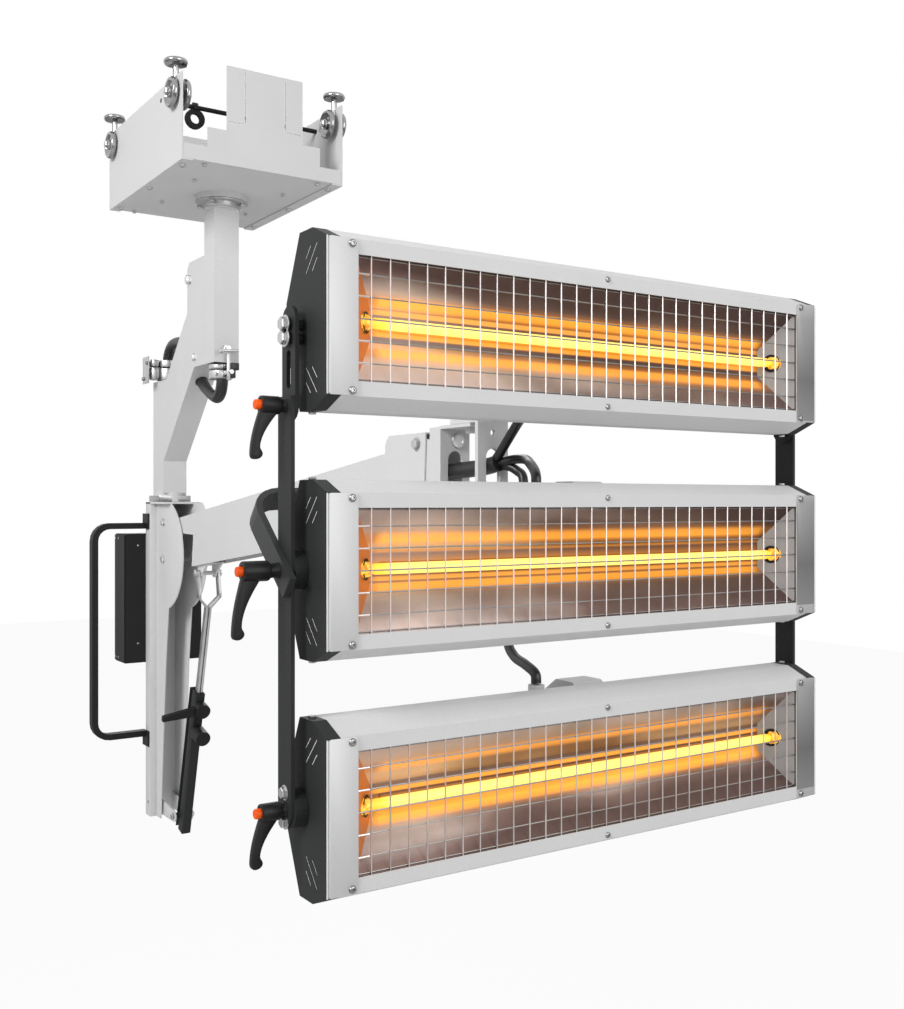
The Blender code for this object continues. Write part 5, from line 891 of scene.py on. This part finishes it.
def build_roller(number):
    """Mushroom guide roller with a rounded, slightly crowned head on a necked stem."""
    node = "guide_roller_" + str(number)
    low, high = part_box(node)
    radius = sizes().roller
    foot, top = low.z, high.z
    profile = [(0.0035, foot), (0.0035, foot + 0.0118), (0.0062, foot + 0.0121), (0.0065, foot + 0.0130),
               (0.0065, top - 0.0140), (0.0072, top - 0.0132), (radius - 0.0062, top - 0.0130),
               (radius - 0.0026, top - 0.0118), (radius - 0.0006, top - 0.0092), (radius, top - 0.0066),
               (radius - 0.0005, top - 0.0042), (radius - 0.0024, top - 0.0018), (radius - 0.0052, top - 0.0009),
               (radius * 0.45, top - 0.0002), (radius * 0.05, top)]
    made = turned(profile, 56)
    made.location = ((low.x + high.x) / 2, (low.y + high.y) / 2, 0.0)
    settle(made, "guide_wheel_" + str(number), "chrome", "roller_" + str(number), [node], 30.0)


def build_trolley_fasteners():
    """Screws under the trolley's pan and flanges, and the bright swivel flange with its bolts and collar."""
    base = TROLLEY_BASE
    spots = facing([(side * 0.1690, along, base) for side in SIDES for along in (-0.205, 0.0, 0.205)], DOWN)
    spots += facing([(side * across, along, base + 0.0002) for across, reach in ((0.105, 0.105), (0.130, 0.228))
                     for along in (-reach, reach) for side in SIDES], DOWN, 0.66)
    settle(repeated(head("pan", 0.0074, 0.0056), spots), "pan_screws", "steel", "trolley")
    ring = [(0.0415, 0.0102), (0.0590, 0.0102), (0.0605, 0.0112), (0.0605, 0.0130), (0.0590, 0.0140), (0.0460, 0.0142),
            (0.0445, 0.0152), (0.0445, 0.0245), (0.0432, 0.0258), (0.0415, 0.0258)]
    settle(turned([(radius, below(drop)) for radius, drop in ring], 64), "swivel_ring", "steel", "trolley")
    angles = [math.radians(45 + 90 * index) for index in range(4)]
    spots = facing([(math.cos(angle) * 0.0525, math.sin(angle) * 0.0525, base - 0.0140) for angle in angles], DOWN)
    settle(repeated(hex_bolt(0.0070, 0.0060), spots), "flange_bolts", "zinc", "trolley")


# Cables: routes as (side, reach in front, drop below the trolley's base), and the hose's as (Y, drop)

TRUNK = [(0.0, 0.880, 0.655), (0.0, 0.930, 0.654), (0.0, 0.972, 0.652), (0.0, 1.020, 0.650), (0.0, 1.050, 0.648),
         (0.0015, 1.072, 0.645), (0.004, 1.084, 0.642)]
BRANCHES = {
    "top": [(0.0, 1.058, 0.652), (0.0025, 1.083, 0.634), (0.0045, 1.105, 0.611), (0.0026, 1.132, 0.588),
            (-0.006, 1.158, 0.5775), (-0.018, 1.184, 0.5765), (-0.030, 1.210, 0.580), (-0.036, 1.2265, 0.579),
            (-0.036, 1.229, 0.5725)],
    "middle": [(0.0, 1.058, 0.652), (0.0100, 1.085, 0.642), (0.0165, 1.110, 0.6372), (0.0095, 1.145, 0.6390),
               (-0.0120, 1.185, 0.6475), (-0.026, 1.212, 0.657), (-0.035, 1.227, 0.666), (-0.036, 1.229, 0.6765)],
    "bottom": [(0.0, 1.058, 0.652), (0.0150, 1.085, 0.646), (0.0243, 1.105, 0.6547), (0.0260, 1.118, 0.670),
               (0.0202, 1.122, 0.7284), (0.0041, 1.126, 0.8024), (-0.0115, 1.131, 0.8679), (-0.0194, 1.140, 0.9060),
               (-0.0260, 1.165, 0.9240), (-0.0330, 1.200, 0.9310), (-0.0360, 1.226, 0.9400), (-0.036, 1.229, 0.9535)],
}
HOSE = [(-0.006, 0.330), (-0.006, 0.370), (-0.006, 0.408), (-0.003, 0.430), (0.006, 0.448), (0.0225, 0.4570),
        (0.043, 0.4530), (0.075, 0.4395), (0.110, 0.4205), (0.138, 0.398), (0.168, 0.3673), (0.2142, 0.3212),
        (0.242, 0.304), (0.284, 0.298), (0.326, 0.302), (0.351, 0.321), (0.360, 0.350), (0.360, 0.392), (0.360, 0.432),
        (0.353, 0.520), (0.346, 0.600)]


def from_drops(route):
    """Frame points from (side, reach in front, drop)."""
    return [(x, -reach, below(drop)) for x, reach, drop in route]


def build_column_hose():
    """Supply hose that leaves the column, passes through the offset arm and enters its sleeve."""
    made = tube([(0.0, y, below(drop)) for y, drop in HOSE], sizes().column_cable, 5, 7)
    settle(made, "column_hose", "sheath", "column", ["column_cable"])


def build_head_cables():
    """The trunk through both slotted plates, and its three branches to the cassettes."""
    size = sizes()
    trunk = tube(from_drops(TRUNK), size.trunk, 6, 7)
    settle(trunk, "supply_trunk", "sheath", None, ["supply_cable"])
    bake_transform(trunk)
    for place in PLACES:
        branch = tube(from_drops(BRANCHES[place]), size.branch, 6, 6)
        settle(branch, "branch_" + place, "sheath", None, ["cable_" + place])
        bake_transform(branch)


def ring_bands(bands, x, y):
    """Cable clamp bands with rounded rims, given by outer and inner radius and the drops of foot and top."""
    made = []
    for radius, inner, foot, top in bands:
        low, high = below(foot), below(top)
        profile = [(inner, low + 0.001), (inner + 0.001, low), (radius - 0.0022, low), (radius - 0.0006, low + 0.0010),
                   (radius, low + 0.0028), (radius, high - 0.0028), (radius - 0.0006, high - 0.0010),
                   (radius - 0.0022, high), (inner + 0.001, high), (inner, high - 0.001)]
        band = turned(profile, 56)
        band.location = (x, y, 0.0)
        made.append(band)
    return made


def build_clamps():
    """Cable clamps: bands round the hose and its sleeve, with their plates, screws, rod and rubber blocks."""
    front = ring_bands([(0.0265, 0.0150, 0.3950, 0.3822), (0.0265, 0.0150, 0.4175, 0.3972)], 0.0, 0.006)
    front.append(slab((-0.0050, -0.0450, below(0.4230)), (0.0030, -0.0426, below(0.3620)), 0.0006))
    front.append(slab((-0.0040, -0.0430, below(0.4100)), (0.0020, -0.0180, below(0.4000)), 0.0008))
    settle(joined(front), "clamp_bands_front", "steel", "column", ["cable_clamp_front"])
    bolt = hex_bolt(0.0068, 0.0062)
    washer = turned([(0.0052, 0.0), (0.0056, 0.0005), (0.0056, 0.0018), (0.0048, 0.0024)], 32)
    studs = copies(bolt, [((-0.0010, -0.0404, below(0.3495)), FORWARD, 1.0),
                          ((-0.0190, -0.0480, below(0.3570)), (-1.0, -0.3, 0.0), 0.85),
                          ((0.0190, -0.0480, below(0.3550)), (1.0, -0.3, 0.0), 0.55)])
    studs += copies(washer, [((0.0055, -0.0462, below(0.4035)), FORWARD, 1.0),
                             ((-0.0225, -0.0180, below(0.4060)), (-1.0, -0.7, 0.0), 0.9)])
    rod = [(-0.0230, 0.0480, 0.3572), (0.0, 0.0485, 0.3560), (0.0200, 0.0480, 0.3550)]
    studs.append(tube(from_drops(rod), 0.0030, 2, 4))
    discard(bolt, washer)
    settle(joined(studs), "clamp_bolts_front", "zinc", "column")
    upper = slab((0.0038, -0.0460, below(0.3990)), (0.0250, -0.0280, below(0.3825)), 0.0020)
    lower = slab((0.0038, -0.0460, below(0.4175)), (0.0165, -0.0280, below(0.3998)), 0.0020)
    settle(joined([upper, lower]), "clamp_blocks_front", "sheath", "column")
    rear = ring_bands([(0.0265, 0.0150, 0.3560, 0.3373), (0.0275, 0.0150, 0.3896, 0.3580)], 0.0, 0.3600)
    rear += ring_bands([(0.0115, 0.0040, 0.3560, 0.3373), (0.0125, 0.0040, 0.3896, 0.3580)], -0.0385, 0.3520)
    rear.append(slab((-0.0588, 0.3380, below(0.3990)), (-0.0562, 0.3820, below(0.3310)), 0.0006))
    rear.append(slab((-0.0565, 0.3560, below(0.3850)), (-0.0240, 0.3640, below(0.3420)), 0.0010))
    settle(joined(rear), "clamp_bands_rear", "steel", "column", ["cable_clamp_rear"])
    spots = facing([(-0.0588, 0.3460, below(0.3480)), (-0.0588, 0.3740, below(0.3860))], LEFT)
    settle(repeated(head("socket", 0.0046, 0.0040), spots), "clamp_bolts_rear", "screw", "column")


# Pieces of the column, the mast, the strut and the arms

# The pivots of the lift arm and of its level rod in the mast's cheeks
PIVOT_Y = 0.304
PIVOTS = (below(0.751), below(0.845))
# The cheeks' round front: its middle's drop, its radius and the drop at which the leg begins
CHEEK_DROP = 0.832
CHEEK_RADIUS = 0.1385
LEG_DROP = 0.966
MAST_FOOT = below(1.503)
# Both ends of the strut
STRUT_FOOT = Vector((0.0, 0.255, below(1.482)))
STRUT_EYE = Vector((0.0, 0.085, below(0.869)))


def build_column_fasteners():
    """Bolts that hold the offset arm on the column, and the square collar on top of the mast."""
    spots = both_sides(0.0300, [(0.1250, below(0.1700))]) + both_sides(0.0300, [(0.0920, below(0.3580))], 0.80)
    settle(repeated(hex_bolt(0.0118, 0.0092), spots), "offset_arm_bolts", "coated_bolt", "column")
    band = [(-0.0416, 0.3080), (-0.0391, 0.3055), (0.0391, 0.3055), (0.0416, 0.3080), (0.0416, 0.3830),
            (0.0391, 0.3855), (-0.0391, 0.3855), (-0.0416, 0.3830)]
    settle(sheet_from(band, "Z", -0.8128, -0.7970, 0.0006), "mast_collar", "screw", "mast")


def build_mast_fasteners():
    """Pivot bolts on both cheeks, screws of the control box, and the rivets at the mast's ends."""
    pivots = both_sides(0.0318, [(PIVOT_Y, z) for z in PIVOTS])
    settle(repeated(hex_bolt(0.0085, 0.0060), pivots), "pivot_bolts", "coated_bolt", "mast")
    low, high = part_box("control_box")
    spots = []
    for z in (low.z + 0.012, high.z - 0.012):
        for depth in (0.010, 0.036):
            spots.append(((low.x, high.y - depth, z), LEFT, 1.0))
            spots.append(((high.x, high.y - depth, z), RIGHT, 1.0))
    spots += facing([(side * 0.068, low.y, z) for z in (low.z + 0.050, high.z - 0.030) for side in SIDES], FORWARD, 0.9)
    spots += facing([(side * 0.090, high.y, z) for side in SIDES for z in (low.z + 0.014, high.z - 0.014)],
                    (0.0, 1.0, 0.0), 1.1)
    settle(repeated(head("pan", 0.0034, 0.0018), spots), "control_box_screws", "chrome", "mast")
    ends = both_sides(0.0480, [(0.3700, below(drop)) for drop in (0.735, 1.468)])
    settle(repeated(head("rivet", 0.0042, 0.0016), ends), "mast_rivets", "chrome", "mast")


def arc(y, z, radius, turns):
    """Points round a centre at turns in degrees, counted from the top towards +Y."""
    return [(y + radius * math.sin(math.radians(turn)), z + radius * math.cos(math.radians(turn))) for turn in turns]


def cheek_side(front_top, arc_drop):
    """Side view of a mast cheek, as (y, z): its top, a round front about the pivots, and a tapered leg."""
    start = math.asin((arc_drop - CHEEK_DROP) / CHEEK_RADIUS)
    stop = math.asin((LEG_DROP - CHEEK_DROP) / CHEEK_RADIUS)
    front = []
    for step in range(25):
        turn = start + (stop - start) * step / 24
        front.append((PIVOT_Y - CHEEK_RADIUS * math.cos(turn), below(CHEEK_DROP + CHEEK_RADIUS * math.sin(turn))))
    leg = [(0.289, below(1.102)), (0.325, MAST_FOOT), (0.3875, MAST_FOOT), (0.3875, below(0.7025))]
    return front_top + front + leg


def build_mast_shell():
    """Folded mast: rear channel with front lips, two round-nosed cheeks, lid, spindle, pivot pins and strut's foot."""
    top = below(0.7005)
    half = 0.048
    back = [(-half, 0.3560), (-0.0316, 0.3560), (-0.0316, 0.3582), (-0.0455, 0.3582), (-0.0455, 0.3872),
            (0.0455, 0.3872), (0.0455, 0.3582), (0.0316, 0.3582), (0.0316, 0.3560), (half, 0.3560), (half, 0.3900),
            (-half, 0.3900)]
    nose = [(0.196, below(0.7025)), (0.178, below(0.7200))]
    spindle = turned([(0.0120, top - 0.0040), (0.0200, top - 0.0040), (0.0200, top + 0.0580), (0.0180, top + 0.0600),
                      (0.0120, top + 0.0600)], 40)
    spindle.location.y = 0.3455
    pieces = [
        sheet_from(back, "Z", MAST_FOOT, top, 0.0005),
        sheet_from(cheek_side([], 0.7025), "X", -0.0315, -0.0285, 0.0005),
        sheet_from(cheek_side(nose, 0.7900), "X", 0.0285, 0.0315, 0.0005),
        slab((-half, 0.2500, top - 0.0050), (half, 0.3900, top), 0.0006),
        spindle,
    ]
    pins = [((0.0, PIVOT_Y, z), 0.006, 0.0315) for z in PIVOTS] + [(STRUT_FOOT, 0.005, 0.0235)]
    for centre, radius, reach in pins:
        pieces.append(along_x(turned([(radius, -reach), (radius, reach)], 28), centre))
    foot = arc(STRUT_FOOT.y, STRUT_FOOT.z, 0.014, range(0, -181, -15))
    foot += [(0.3872, STRUT_FOOT.z - 0.014), (0.3872, STRUT_FOOT.z + 0.028)]
    pieces += [sheet_from(foot, "X", -0.0235, -0.0195, 0.0005), sheet_from(foot, "X", 0.0195, 0.0235, 0.0005)]
    settle(joined(pieces), "mast_shell", "light", "mast", ["mast"])


def leaned(pieces):
    """Pieces of the strut, drawn about Z from its foot, joined and leaned towards its eye."""
    run = STRUT_EYE - STRUT_FOOT
    made = only(joined(pieces))
    bpy.ops.object.transform_apply(location=True, rotation=True, scale=True)
    made.rotation_euler = (math.atan2(-run.y, run.z), 0.0, 0.0)
    made.location = STRUT_FOOT
    return made


def build_fork():
    """Strut fork: two flat legs with eyes at the arm's lug, closing to a narrow pair that slides in the channel."""
    top = (STRUT_EYE - STRUT_FOOT).length
    side_view = arc(0.0, top, 0.009, range(90, -91, -15))
    side_view += [(-0.024, top - 0.028), (-0.031, top - 0.042), (-0.031, top - 0.053), (-0.015, top - 0.053),
                  (-0.006, top - 0.032)]
    pin = [(0.0085, 0.0), (0.0092, 0.0008), (0.0092, 0.0042), (0.0078, 0.0052), (0.0030, 0.0056)]
    pieces = []
    for side in SIDES:
        near, far = sorted((side * 0.022, side * 0.028))
        pieces.append(sheet_from(side_view, "X", near, far, 0.0008))
        front_view = [(side * 0.0010, 0.150), (side * 0.0068, 0.150), (side * 0.0068, top - 0.078),
                      (side * 0.0280, top - 0.052), (side * 0.0280, top - 0.048), (side * 0.0220, top - 0.048),
                      (side * 0.0218, top - 0.053), (side * 0.0010, top - 0.076)]
        pieces.append(sheet_from(front_view, "Y", -0.031, -0.015, 0.0008))
        pieces.append(along_x(turned(pin, 28), (side * 0.0278, 0.0, top), side))
    pieces.append(slab((-0.0012, -0.030, 0.150), (0.0012, -0.016, 0.174)))
    settle(leaned(pieces), "fork_legs", "zinc", "strut_fork", ["strut_fork"])


def build_channel():
    """Strut channel: a folded section open on the left, with two ears for the pin at the mast's foot."""
    section = [(-0.0110, -0.0360), (0.0110, -0.0360), (0.0110, 0.0100), (-0.0110, 0.0100), (-0.0110, 0.0075),
               (0.0082, 0.0075), (0.0082, -0.0332), (-0.0082, -0.0332), (-0.0082, -0.0080), (-0.0110, -0.0080)]
    ear = arc(0.0, 0.0, 0.0100, range(0, 181, 15)) + [(-0.0330, -0.0100), (-0.0330, 0.0160)]
    sleeve = turned([(0.0056, -0.0180), (0.0078, -0.0180), (0.0078, 0.0180), (0.0056, 0.0180), (0.0056, -0.0180)], 28)
    pieces = [
        sheet_from(section, "Z", -0.0320, 0.3410, 0.0006),
        sheet_from(ear, "X", -0.0109, -0.0080, 0.0005),
        sheet_from(ear, "X", 0.0080, 0.0109, 0.0005),
        along_x(sleeve, (0.0, 0.0, 0.0)),
    ]
    settle(leaned(pieces), "strut_section", "dark", "strut_channel", ["strut_channel"])


def build_arm_fasteners():
    """Bolts of the lift arm's front pivot, the links, the bracket and the strut's foot."""
    front = both_sides(0.0283, [(-0.901, below(0.6065))])
    settle(repeated(hex_bolt(0.0090, 0.0068), front), "arm_end_bolts", "zinc", "lift_arm")
    low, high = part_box("button_top")
    axis = (low.y + high.y) / 2
    upper = facing([(-0.4380, axis, below(drop)) for drop in (0.495, 0.511)], LEFT, 1.15)
    settle(repeated(hex_bolt(0.0072, 0.0052), upper), "link_bolts", "steel", "cassette_top")
    lower = facing([(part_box("post_left")[0].x, axis, below(drop)) for drop in (1.0395, 1.0728)], LEFT)
    settle(repeated(hex_bolt(0.0072, 0.0052), lower), "post_bolts", "steel", "frame")
    cap = turned([(0.0115, 0.0), (0.0122, 0.0006), (0.0122, 0.0022), (0.0112, 0.0032), (0.0080, 0.0036),
                  (0.0076, 0.0030), (0.0060, 0.0030)], 40)
    settle(repeated(cap, facing([(0.0050, -0.9721, below(0.6036))], FORWARD)), "bracket_bolt", "zinc", "arm_end")
    foot = both_sides(0.0236, [(STRUT_FOOT.y, STRUT_FOOT.z)])
    settle(repeated(hex_bolt(0.0075, 0.0055), foot), "strut_foot_bolts", "zinc", "mast")


COATS = {}
YOKE_SPLIT_Y = -1.0850


def build_coats():
    """Every finish of the dryer, by its plain name."""
    tone = colours()
    made = {
        "light": powder_coat("light_powder_coat", tone.light),
        "dark": powder_coat("charcoal_powder_coat", tone.dark, 0.22, 0.6, 0.25),
        "yoke": two_coats("yoke_coat", tone.light, tone.dark, YOKE_SPLIT_Y),
        "box": powder_coat("control_box_coat", shade(tone.black, 1.1), 0.25, 0.55, 0.25),
        "black": moulding("black_moulding", tone.black),
        "orange": moulding("orange_button", tone.orange, 0.38, 700.0),
        "sheath": sheath("rubber_sheath", tone.rubber),
        "chrome": plated("polished_chrome", tone.chrome, 0.14),
        "zinc": plated("zinc_plate", tone.zinc, 0.30, 0.08),
        "coated_bolt": plated("pale_bolt", (0.74, 0.74, 0.73), 0.42),
        "wire": plated("guard_wire", (0.66, 0.62, 0.61), 0.34, 0.05),
        # The level wires are the guard wire painted darker as shade
        "level_wire_painted_shade": plated("guard_level_wire", (0.30, 0.30, 0.31), 0.36, 0.05),
        "screw": plated("case_screw_steel", (0.30, 0.30, 0.30), 0.20),
        "steel": plated("bright_steel", (0.54, 0.54, 0.54), 0.34, 0.04),
        "end_plate": end_plate_coat("end_plate", (0.62, 0.62, 0.62)),
        "glow": lamp_glow("burning_tube", tone.glow),
        "holder": tube_lit_cap("tube_lit_cap"),
    }
    for place, seed in zip(PLACES, (0.6, 0.2, 0.0)):
        made["mirror_" + place] = mirror_coat("reflector_" + place, tone.copper, place, seed)
    return made


def coats():
    """The finishes, made on first use."""
    if not COATS:
        COATS.update(build_coats())
    return COATS


def coat_for(node):
    """The finish of a CAD part that stays in view."""
    if node.startswith(("wheelset", "guide_roller")):
        return "chrome"
    if node.startswith(("cap_", "post_", "link_")) or node in ("strut_channel", "cable_bar"):
        return "dark"
    if node == "yoke":
        return "yoke"
    if node in ("control_box", "grab_handle"):
        return "box"
    if node.startswith("lever_") or node in ("strut_lever", "strut_knob"):
        return "black"
    if node.startswith("button"):
        return "orange"
    if node.startswith("cable_clamp") or node in ("level_rod", "strut_fork") or node.startswith("grille"):
        return "zinc"
    if "cable" in node:
        return "sheath"
    if node.startswith("reflector"):
        return "end_plate"
    if node.startswith("lamp"):
        return "glow"
    return "light"


def coat_cad_parts():
    """Puts a finish on every part that came with the CAD model."""
    for name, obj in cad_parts.items():
        obj.data.materials.clear()
        obj.data.materials.append(coats()[coat_for(name)])

# The studio

WHITE = (1.0, 1.0, 1.0, 1.0)
# The lamps as name, place, power and size, and the point that they face
LIGHTS = (("key", (-4.0, -2.0, 1.3), 165.0, 1.8), ("front", (0.6, -4.6, 0.1), 58.0, 2.4),
          ("rear", (1.8, 3.4, 1.0), 40.0, 2.2))
LIT_POINT = Vector((0.0, -0.4, -0.8))
# The photograph's height, its focal length and the height of its horizon in pixels, and the camera's place and aim
PHOTO_HEIGHT = 1009.0
FOCAL = 1132.0
HORIZON = 503.0
CAMERA_PLACE = (-1.003, -2.474, -0.816)
CAMERA_AIM = Vector((0.553, 0.833, 0.0))
SENSOR = 36.0


def build_floor():
    """Pale floor that the camera sees as nearly pure white."""
    clear_selection()
    bpy.ops.mesh.primitive_plane_add(size=30.0, location=(0.0, 6.0, -3.2))
    floor = bpy.context.object
    floor.name = "floor"
    pale = Finish("pale_floor", 0.9)
    pale.colour((0.92, 0.92, 0.92))
    bright = new_node(pale.tree, "ShaderNodeEmission", Color=WHITE, Strength=1.0)
    seen = new_node(pale.tree, "ShaderNodeLightPath").outputs["Is Camera Ray"]
    layers = (pale.math("MULTIPLY", seen, 0.94), pale.shader.outputs[0], bright.outputs[0])
    mix = new_node(pale.tree, "ShaderNodeMixShader", None, layers)
    set_socket(pale.tree, pale.tree.nodes["Material Output"].inputs["Surface"], mix.outputs[0])
    floor.data.materials.append(pale.material)


def build_surroundings():
    """White to the camera and in reflections, a soft light on everything else, and plain colours."""
    bpy.context.scene.view_settings.view_transform = "Standard"
    world = bpy.data.worlds.new("studio")
    bpy.context.scene.world = world
    world.use_nodes = True
    tree = world.node_tree
    tree.nodes.clear()
    path = new_node(tree, "ShaderNodeLightPath")
    plain = new_node(tree, "ShaderNodeBackground", Color=WHITE, Strength=1.0)
    soft = new_node(tree, "ShaderNodeBackground", Color=WHITE, Strength=0.32)
    seen = path.outputs["Is Camera Ray"]
    for kind in ("Is Glossy Ray", "Is Transmission Ray"):
        either = new_node(tree, "ShaderNodeMath", {"operation": "MAXIMUM"}, (seen, path.outputs[kind]))
        seen = either.outputs[0]
    pick = new_node(tree, "ShaderNodeMixShader", None, (seen, soft.outputs[0], plain.outputs[0]))
    new_node(tree, "ShaderNodeOutputWorld", Surface=pick.outputs[0])


def build_lights():
    """Soft lamps round the dryer."""
    for name, place, energy, size in LIGHTS:
        clear_selection()
        bpy.ops.object.light_add(type="AREA", location=place)
        lamp = bpy.context.object
        lamp.name = name + "_light"
        lamp.data.energy = energy
        lamp.data.size = size
        lamp.rotation_euler = (LIT_POINT - Vector(place)).to_track_quat("-Z", "Y").to_euler()


def build_camera():
    """The camera at the photograph's place."""
    scene = bpy.context.scene
    lens = bpy.data.cameras.new("camera")
    camera = bpy.data.objects.new("camera", lens)
    scene.collection.objects.link(camera)
    lens.sensor_fit = "AUTO"
    lens.sensor_width = SENSOR
    lens.lens = FOCAL * SENSOR / PHOTO_HEIGHT
    lens.shift_x = 0.0
    lens.shift_y = (HORIZON - PHOTO_HEIGHT / 2) / PHOTO_HEIGHT
    camera.location = CAMERA_PLACE
    camera.rotation_euler = CAMERA_AIM.to_track_quat("-Z", "Y").to_euler()
    scene.camera = camera


# Operators


class DRYER_OT_coats(bpy.types.Operator):
    """Make the finishes and put them on the parts of the CAD model"""

    bl_idname = "dryer.coats"
    bl_label = "Coats"

    def execute(self, context):
        coat_cad_parts()
        return {"FINISHED"}


class DRYER_OT_guards(bpy.types.Operator):
    """Model the welded wire guards of the three cassettes"""

    bl_idname = "dryer.guards"
    bl_label = "Guards"

    def execute(self, context):
        for place in PLACES:
            build_guard(place)
        return {"FINISHED"}


class DRYER_OT_reflectors(bpy.types.Operator):
    """Model the pressed reflector troughs of the three cassettes"""

    bl_idname = "dryer.reflectors"
    bl_label = "Reflectors"

    def execute(self, context):
        for place in PLACES:
            build_reflector(place)
        return {"FINISHED"}


class DRYER_OT_end_plates(bpy.types.Operator):
    """Model the satin end plates and their folded lips"""

    bl_idname = "dryer.end_plates"
    bl_label = "End Plates"

    def execute(self, context):
        for place in PLACES:
            build_end_plates(place)
        return {"FINISHED"}


class DRYER_OT_case_screws(bpy.types.Operator):
    """Model the screws and nuts of the cassettes"""

    bl_idname = "dryer.case_screws"
    bl_label = "Case Screws"

    def execute(self, context):
        for place in PLACES:
            build_case_screws(place)
        return {"FINISHED"}


class DRYER_OT_vent_glints(bpy.types.Operator):
    """Model the pale strips of painted light in the vents of the caps"""

    bl_idname = "dryer.vent_glints"
    bl_label = "Vent Strips"

    def execute(self, context):
        for place in PLACES:
            build_vent_glints(place)
        return {"FINISHED"}


class DRYER_OT_lamps(bpy.types.Operator):
    """Model the glowing tubes with their end caps"""

    bl_idname = "dryer.lamps"
    bl_label = "Lamps"

    def execute(self, context):
        for place in PLACES:
            build_lamp(place)
        return {"FINISHED"}


class DRYER_OT_clamp_levers(bpy.types.Operator):
    """Model the clamp levers and their release buttons"""

    bl_idname = "dryer.clamp_levers"
    bl_label = "Clamp Levers"

    def execute(self, context):
        for place in PLACES:
            build_clamp_lever(place)
        return {"FINISHED"}


class DRYER_OT_wheels(bpy.types.Operator):
    """Model the running wheels and guide rollers of the trolley"""

    bl_idname = "dryer.wheels"
    bl_label = "Wheels"

    def execute(self, context):
        for number in (1, 2, 3, 4):
            build_wheel_pair(number)
            build_roller(number)
        return {"FINISHED"}


class DRYER_OT_cables(bpy.types.Operator):
    """Sweep the cables along their routes"""

    bl_idname = "dryer.cables"
    bl_label = "Cables"

    def execute(self, context):
        build_column_hose()
        build_head_cables()
        return {"FINISHED"}


class DRYER_OT_trolley_fasteners(bpy.types.Operator):
    """Model the screws under the trolley and its swivel flange"""

    bl_idname = "dryer.trolley_fasteners"
    bl_label = "Trolley Fasteners"

    def execute(self, context):
        build_trolley_fasteners()
        return {"FINISHED"}


class DRYER_OT_mast(bpy.types.Operator):
    """Model the folded mast, the strut's fork and its channel"""

    bl_idname = "dryer.mast"
    bl_label = "Mast"

    def execute(self, context):
        build_mast_shell()
        build_fork()
        build_channel()
        return {"FINISHED"}


class DRYER_OT_arm_fasteners(bpy.types.Operator):
    """Model the bolts of column, mast, arms and strut"""

    bl_idname = "dryer.arm_fasteners"
    bl_label = "Arm Fasteners"

    def execute(self, context):
        build_column_fasteners()
        build_mast_fasteners()
        build_arm_fasteners()
        return {"FINISHED"}


class DRYER_OT_clamps(bpy.types.Operator):
    """Model the cable clamps with their bands, bolts and rubber blocks"""

    bl_idname = "dryer.clamps"
    bl_label = "Cable Clamps"

    def execute(self, context):
        build_clamps()
        return {"FINISHED"}


class DRYER_OT_stage(bpy.types.Operator):
    """Set up the floor, the lamps and the camera"""

    bl_idname = "dryer.stage"
    bl_label = "Studio"

    def execute(self, context):
        build_floor()
        build_surroundings()
        build_lights()
        build_camera()
        return {"FINISHED"}


STEPS = (
    DRYER_OT_coats, DRYER_OT_guards, DRYER_OT_reflectors, DRYER_OT_end_plates, DRYER_OT_case_screws,
    DRYER_OT_vent_glints, DRYER_OT_lamps, DRYER_OT_clamp_levers, DRYER_OT_wheels, DRYER_OT_cables,
    DRYER_OT_trolley_fasteners, DRYER_OT_mast, DRYER_OT_arm_fasteners, DRYER_OT_clamps, DRYER_OT_stage,
)


class DRYER_PT_panel(bpy.types.Panel):
    """Lists the steps that dress the dryer, in their order"""

    bl_label = "Rail Infrared Dryer"
    bl_idname = "DRYER_PT_panel"
    bl_space_type = "VIEW_3D"
    bl_region_type = "UI"
    bl_category = "Dryer"

    def draw(self, context):
        """Draws the buttons and the settings."""
        for step in STEPS:
            self.layout.operator(step.bl_idname)
        for key in DryerSizes.__annotations__:
            self.layout.prop(context.scene.dryer_sizes, key)
        for key in DryerColours.__annotations__:
            self.layout.prop(context.scene.dryer_colours, key)


CLASSES = (DryerSizes, DryerColours) + STEPS + (DRYER_PT_panel,)


def register():
    """Adds the settings, the steps and the panel."""
    for item in CLASSES:
        bpy.utils.register_class(item)
    bpy.types.Scene.dryer_sizes = bpy.props.PointerProperty(type=DryerSizes)
    bpy.types.Scene.dryer_colours = bpy.props.PointerProperty(type=DryerColours)


def unregister():
    """Takes them away again."""
    del bpy.types.Scene.dryer_colours
    del bpy.types.Scene.dryer_sizes
    for item in reversed(CLASSES):
        bpy.utils.unregister_class(item)


def main():
    """Dresses the dryer step by step."""
    register()
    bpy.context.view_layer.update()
    bpy.ops.dryer.coats()
    bpy.ops.dryer.guards()
    bpy.ops.dryer.reflectors()
    bpy.ops.dryer.end_plates()
    bpy.ops.dryer.case_screws()
    bpy.ops.dryer.vent_glints()
    bpy.ops.dryer.lamps()
    bpy.ops.dryer.clamp_levers()
    bpy.ops.dryer.wheels()
    bpy.ops.dryer.cables()
    bpy.ops.dryer.trolley_fasteners()
    bpy.ops.dryer.mast()
    bpy.ops.dryer.arm_fasteners()
    bpy.ops.dryer.clamps()
    bpy.ops.dryer.stage()
    bpy.context.view_layer.update()


if __name__ == "__main__":
    main()
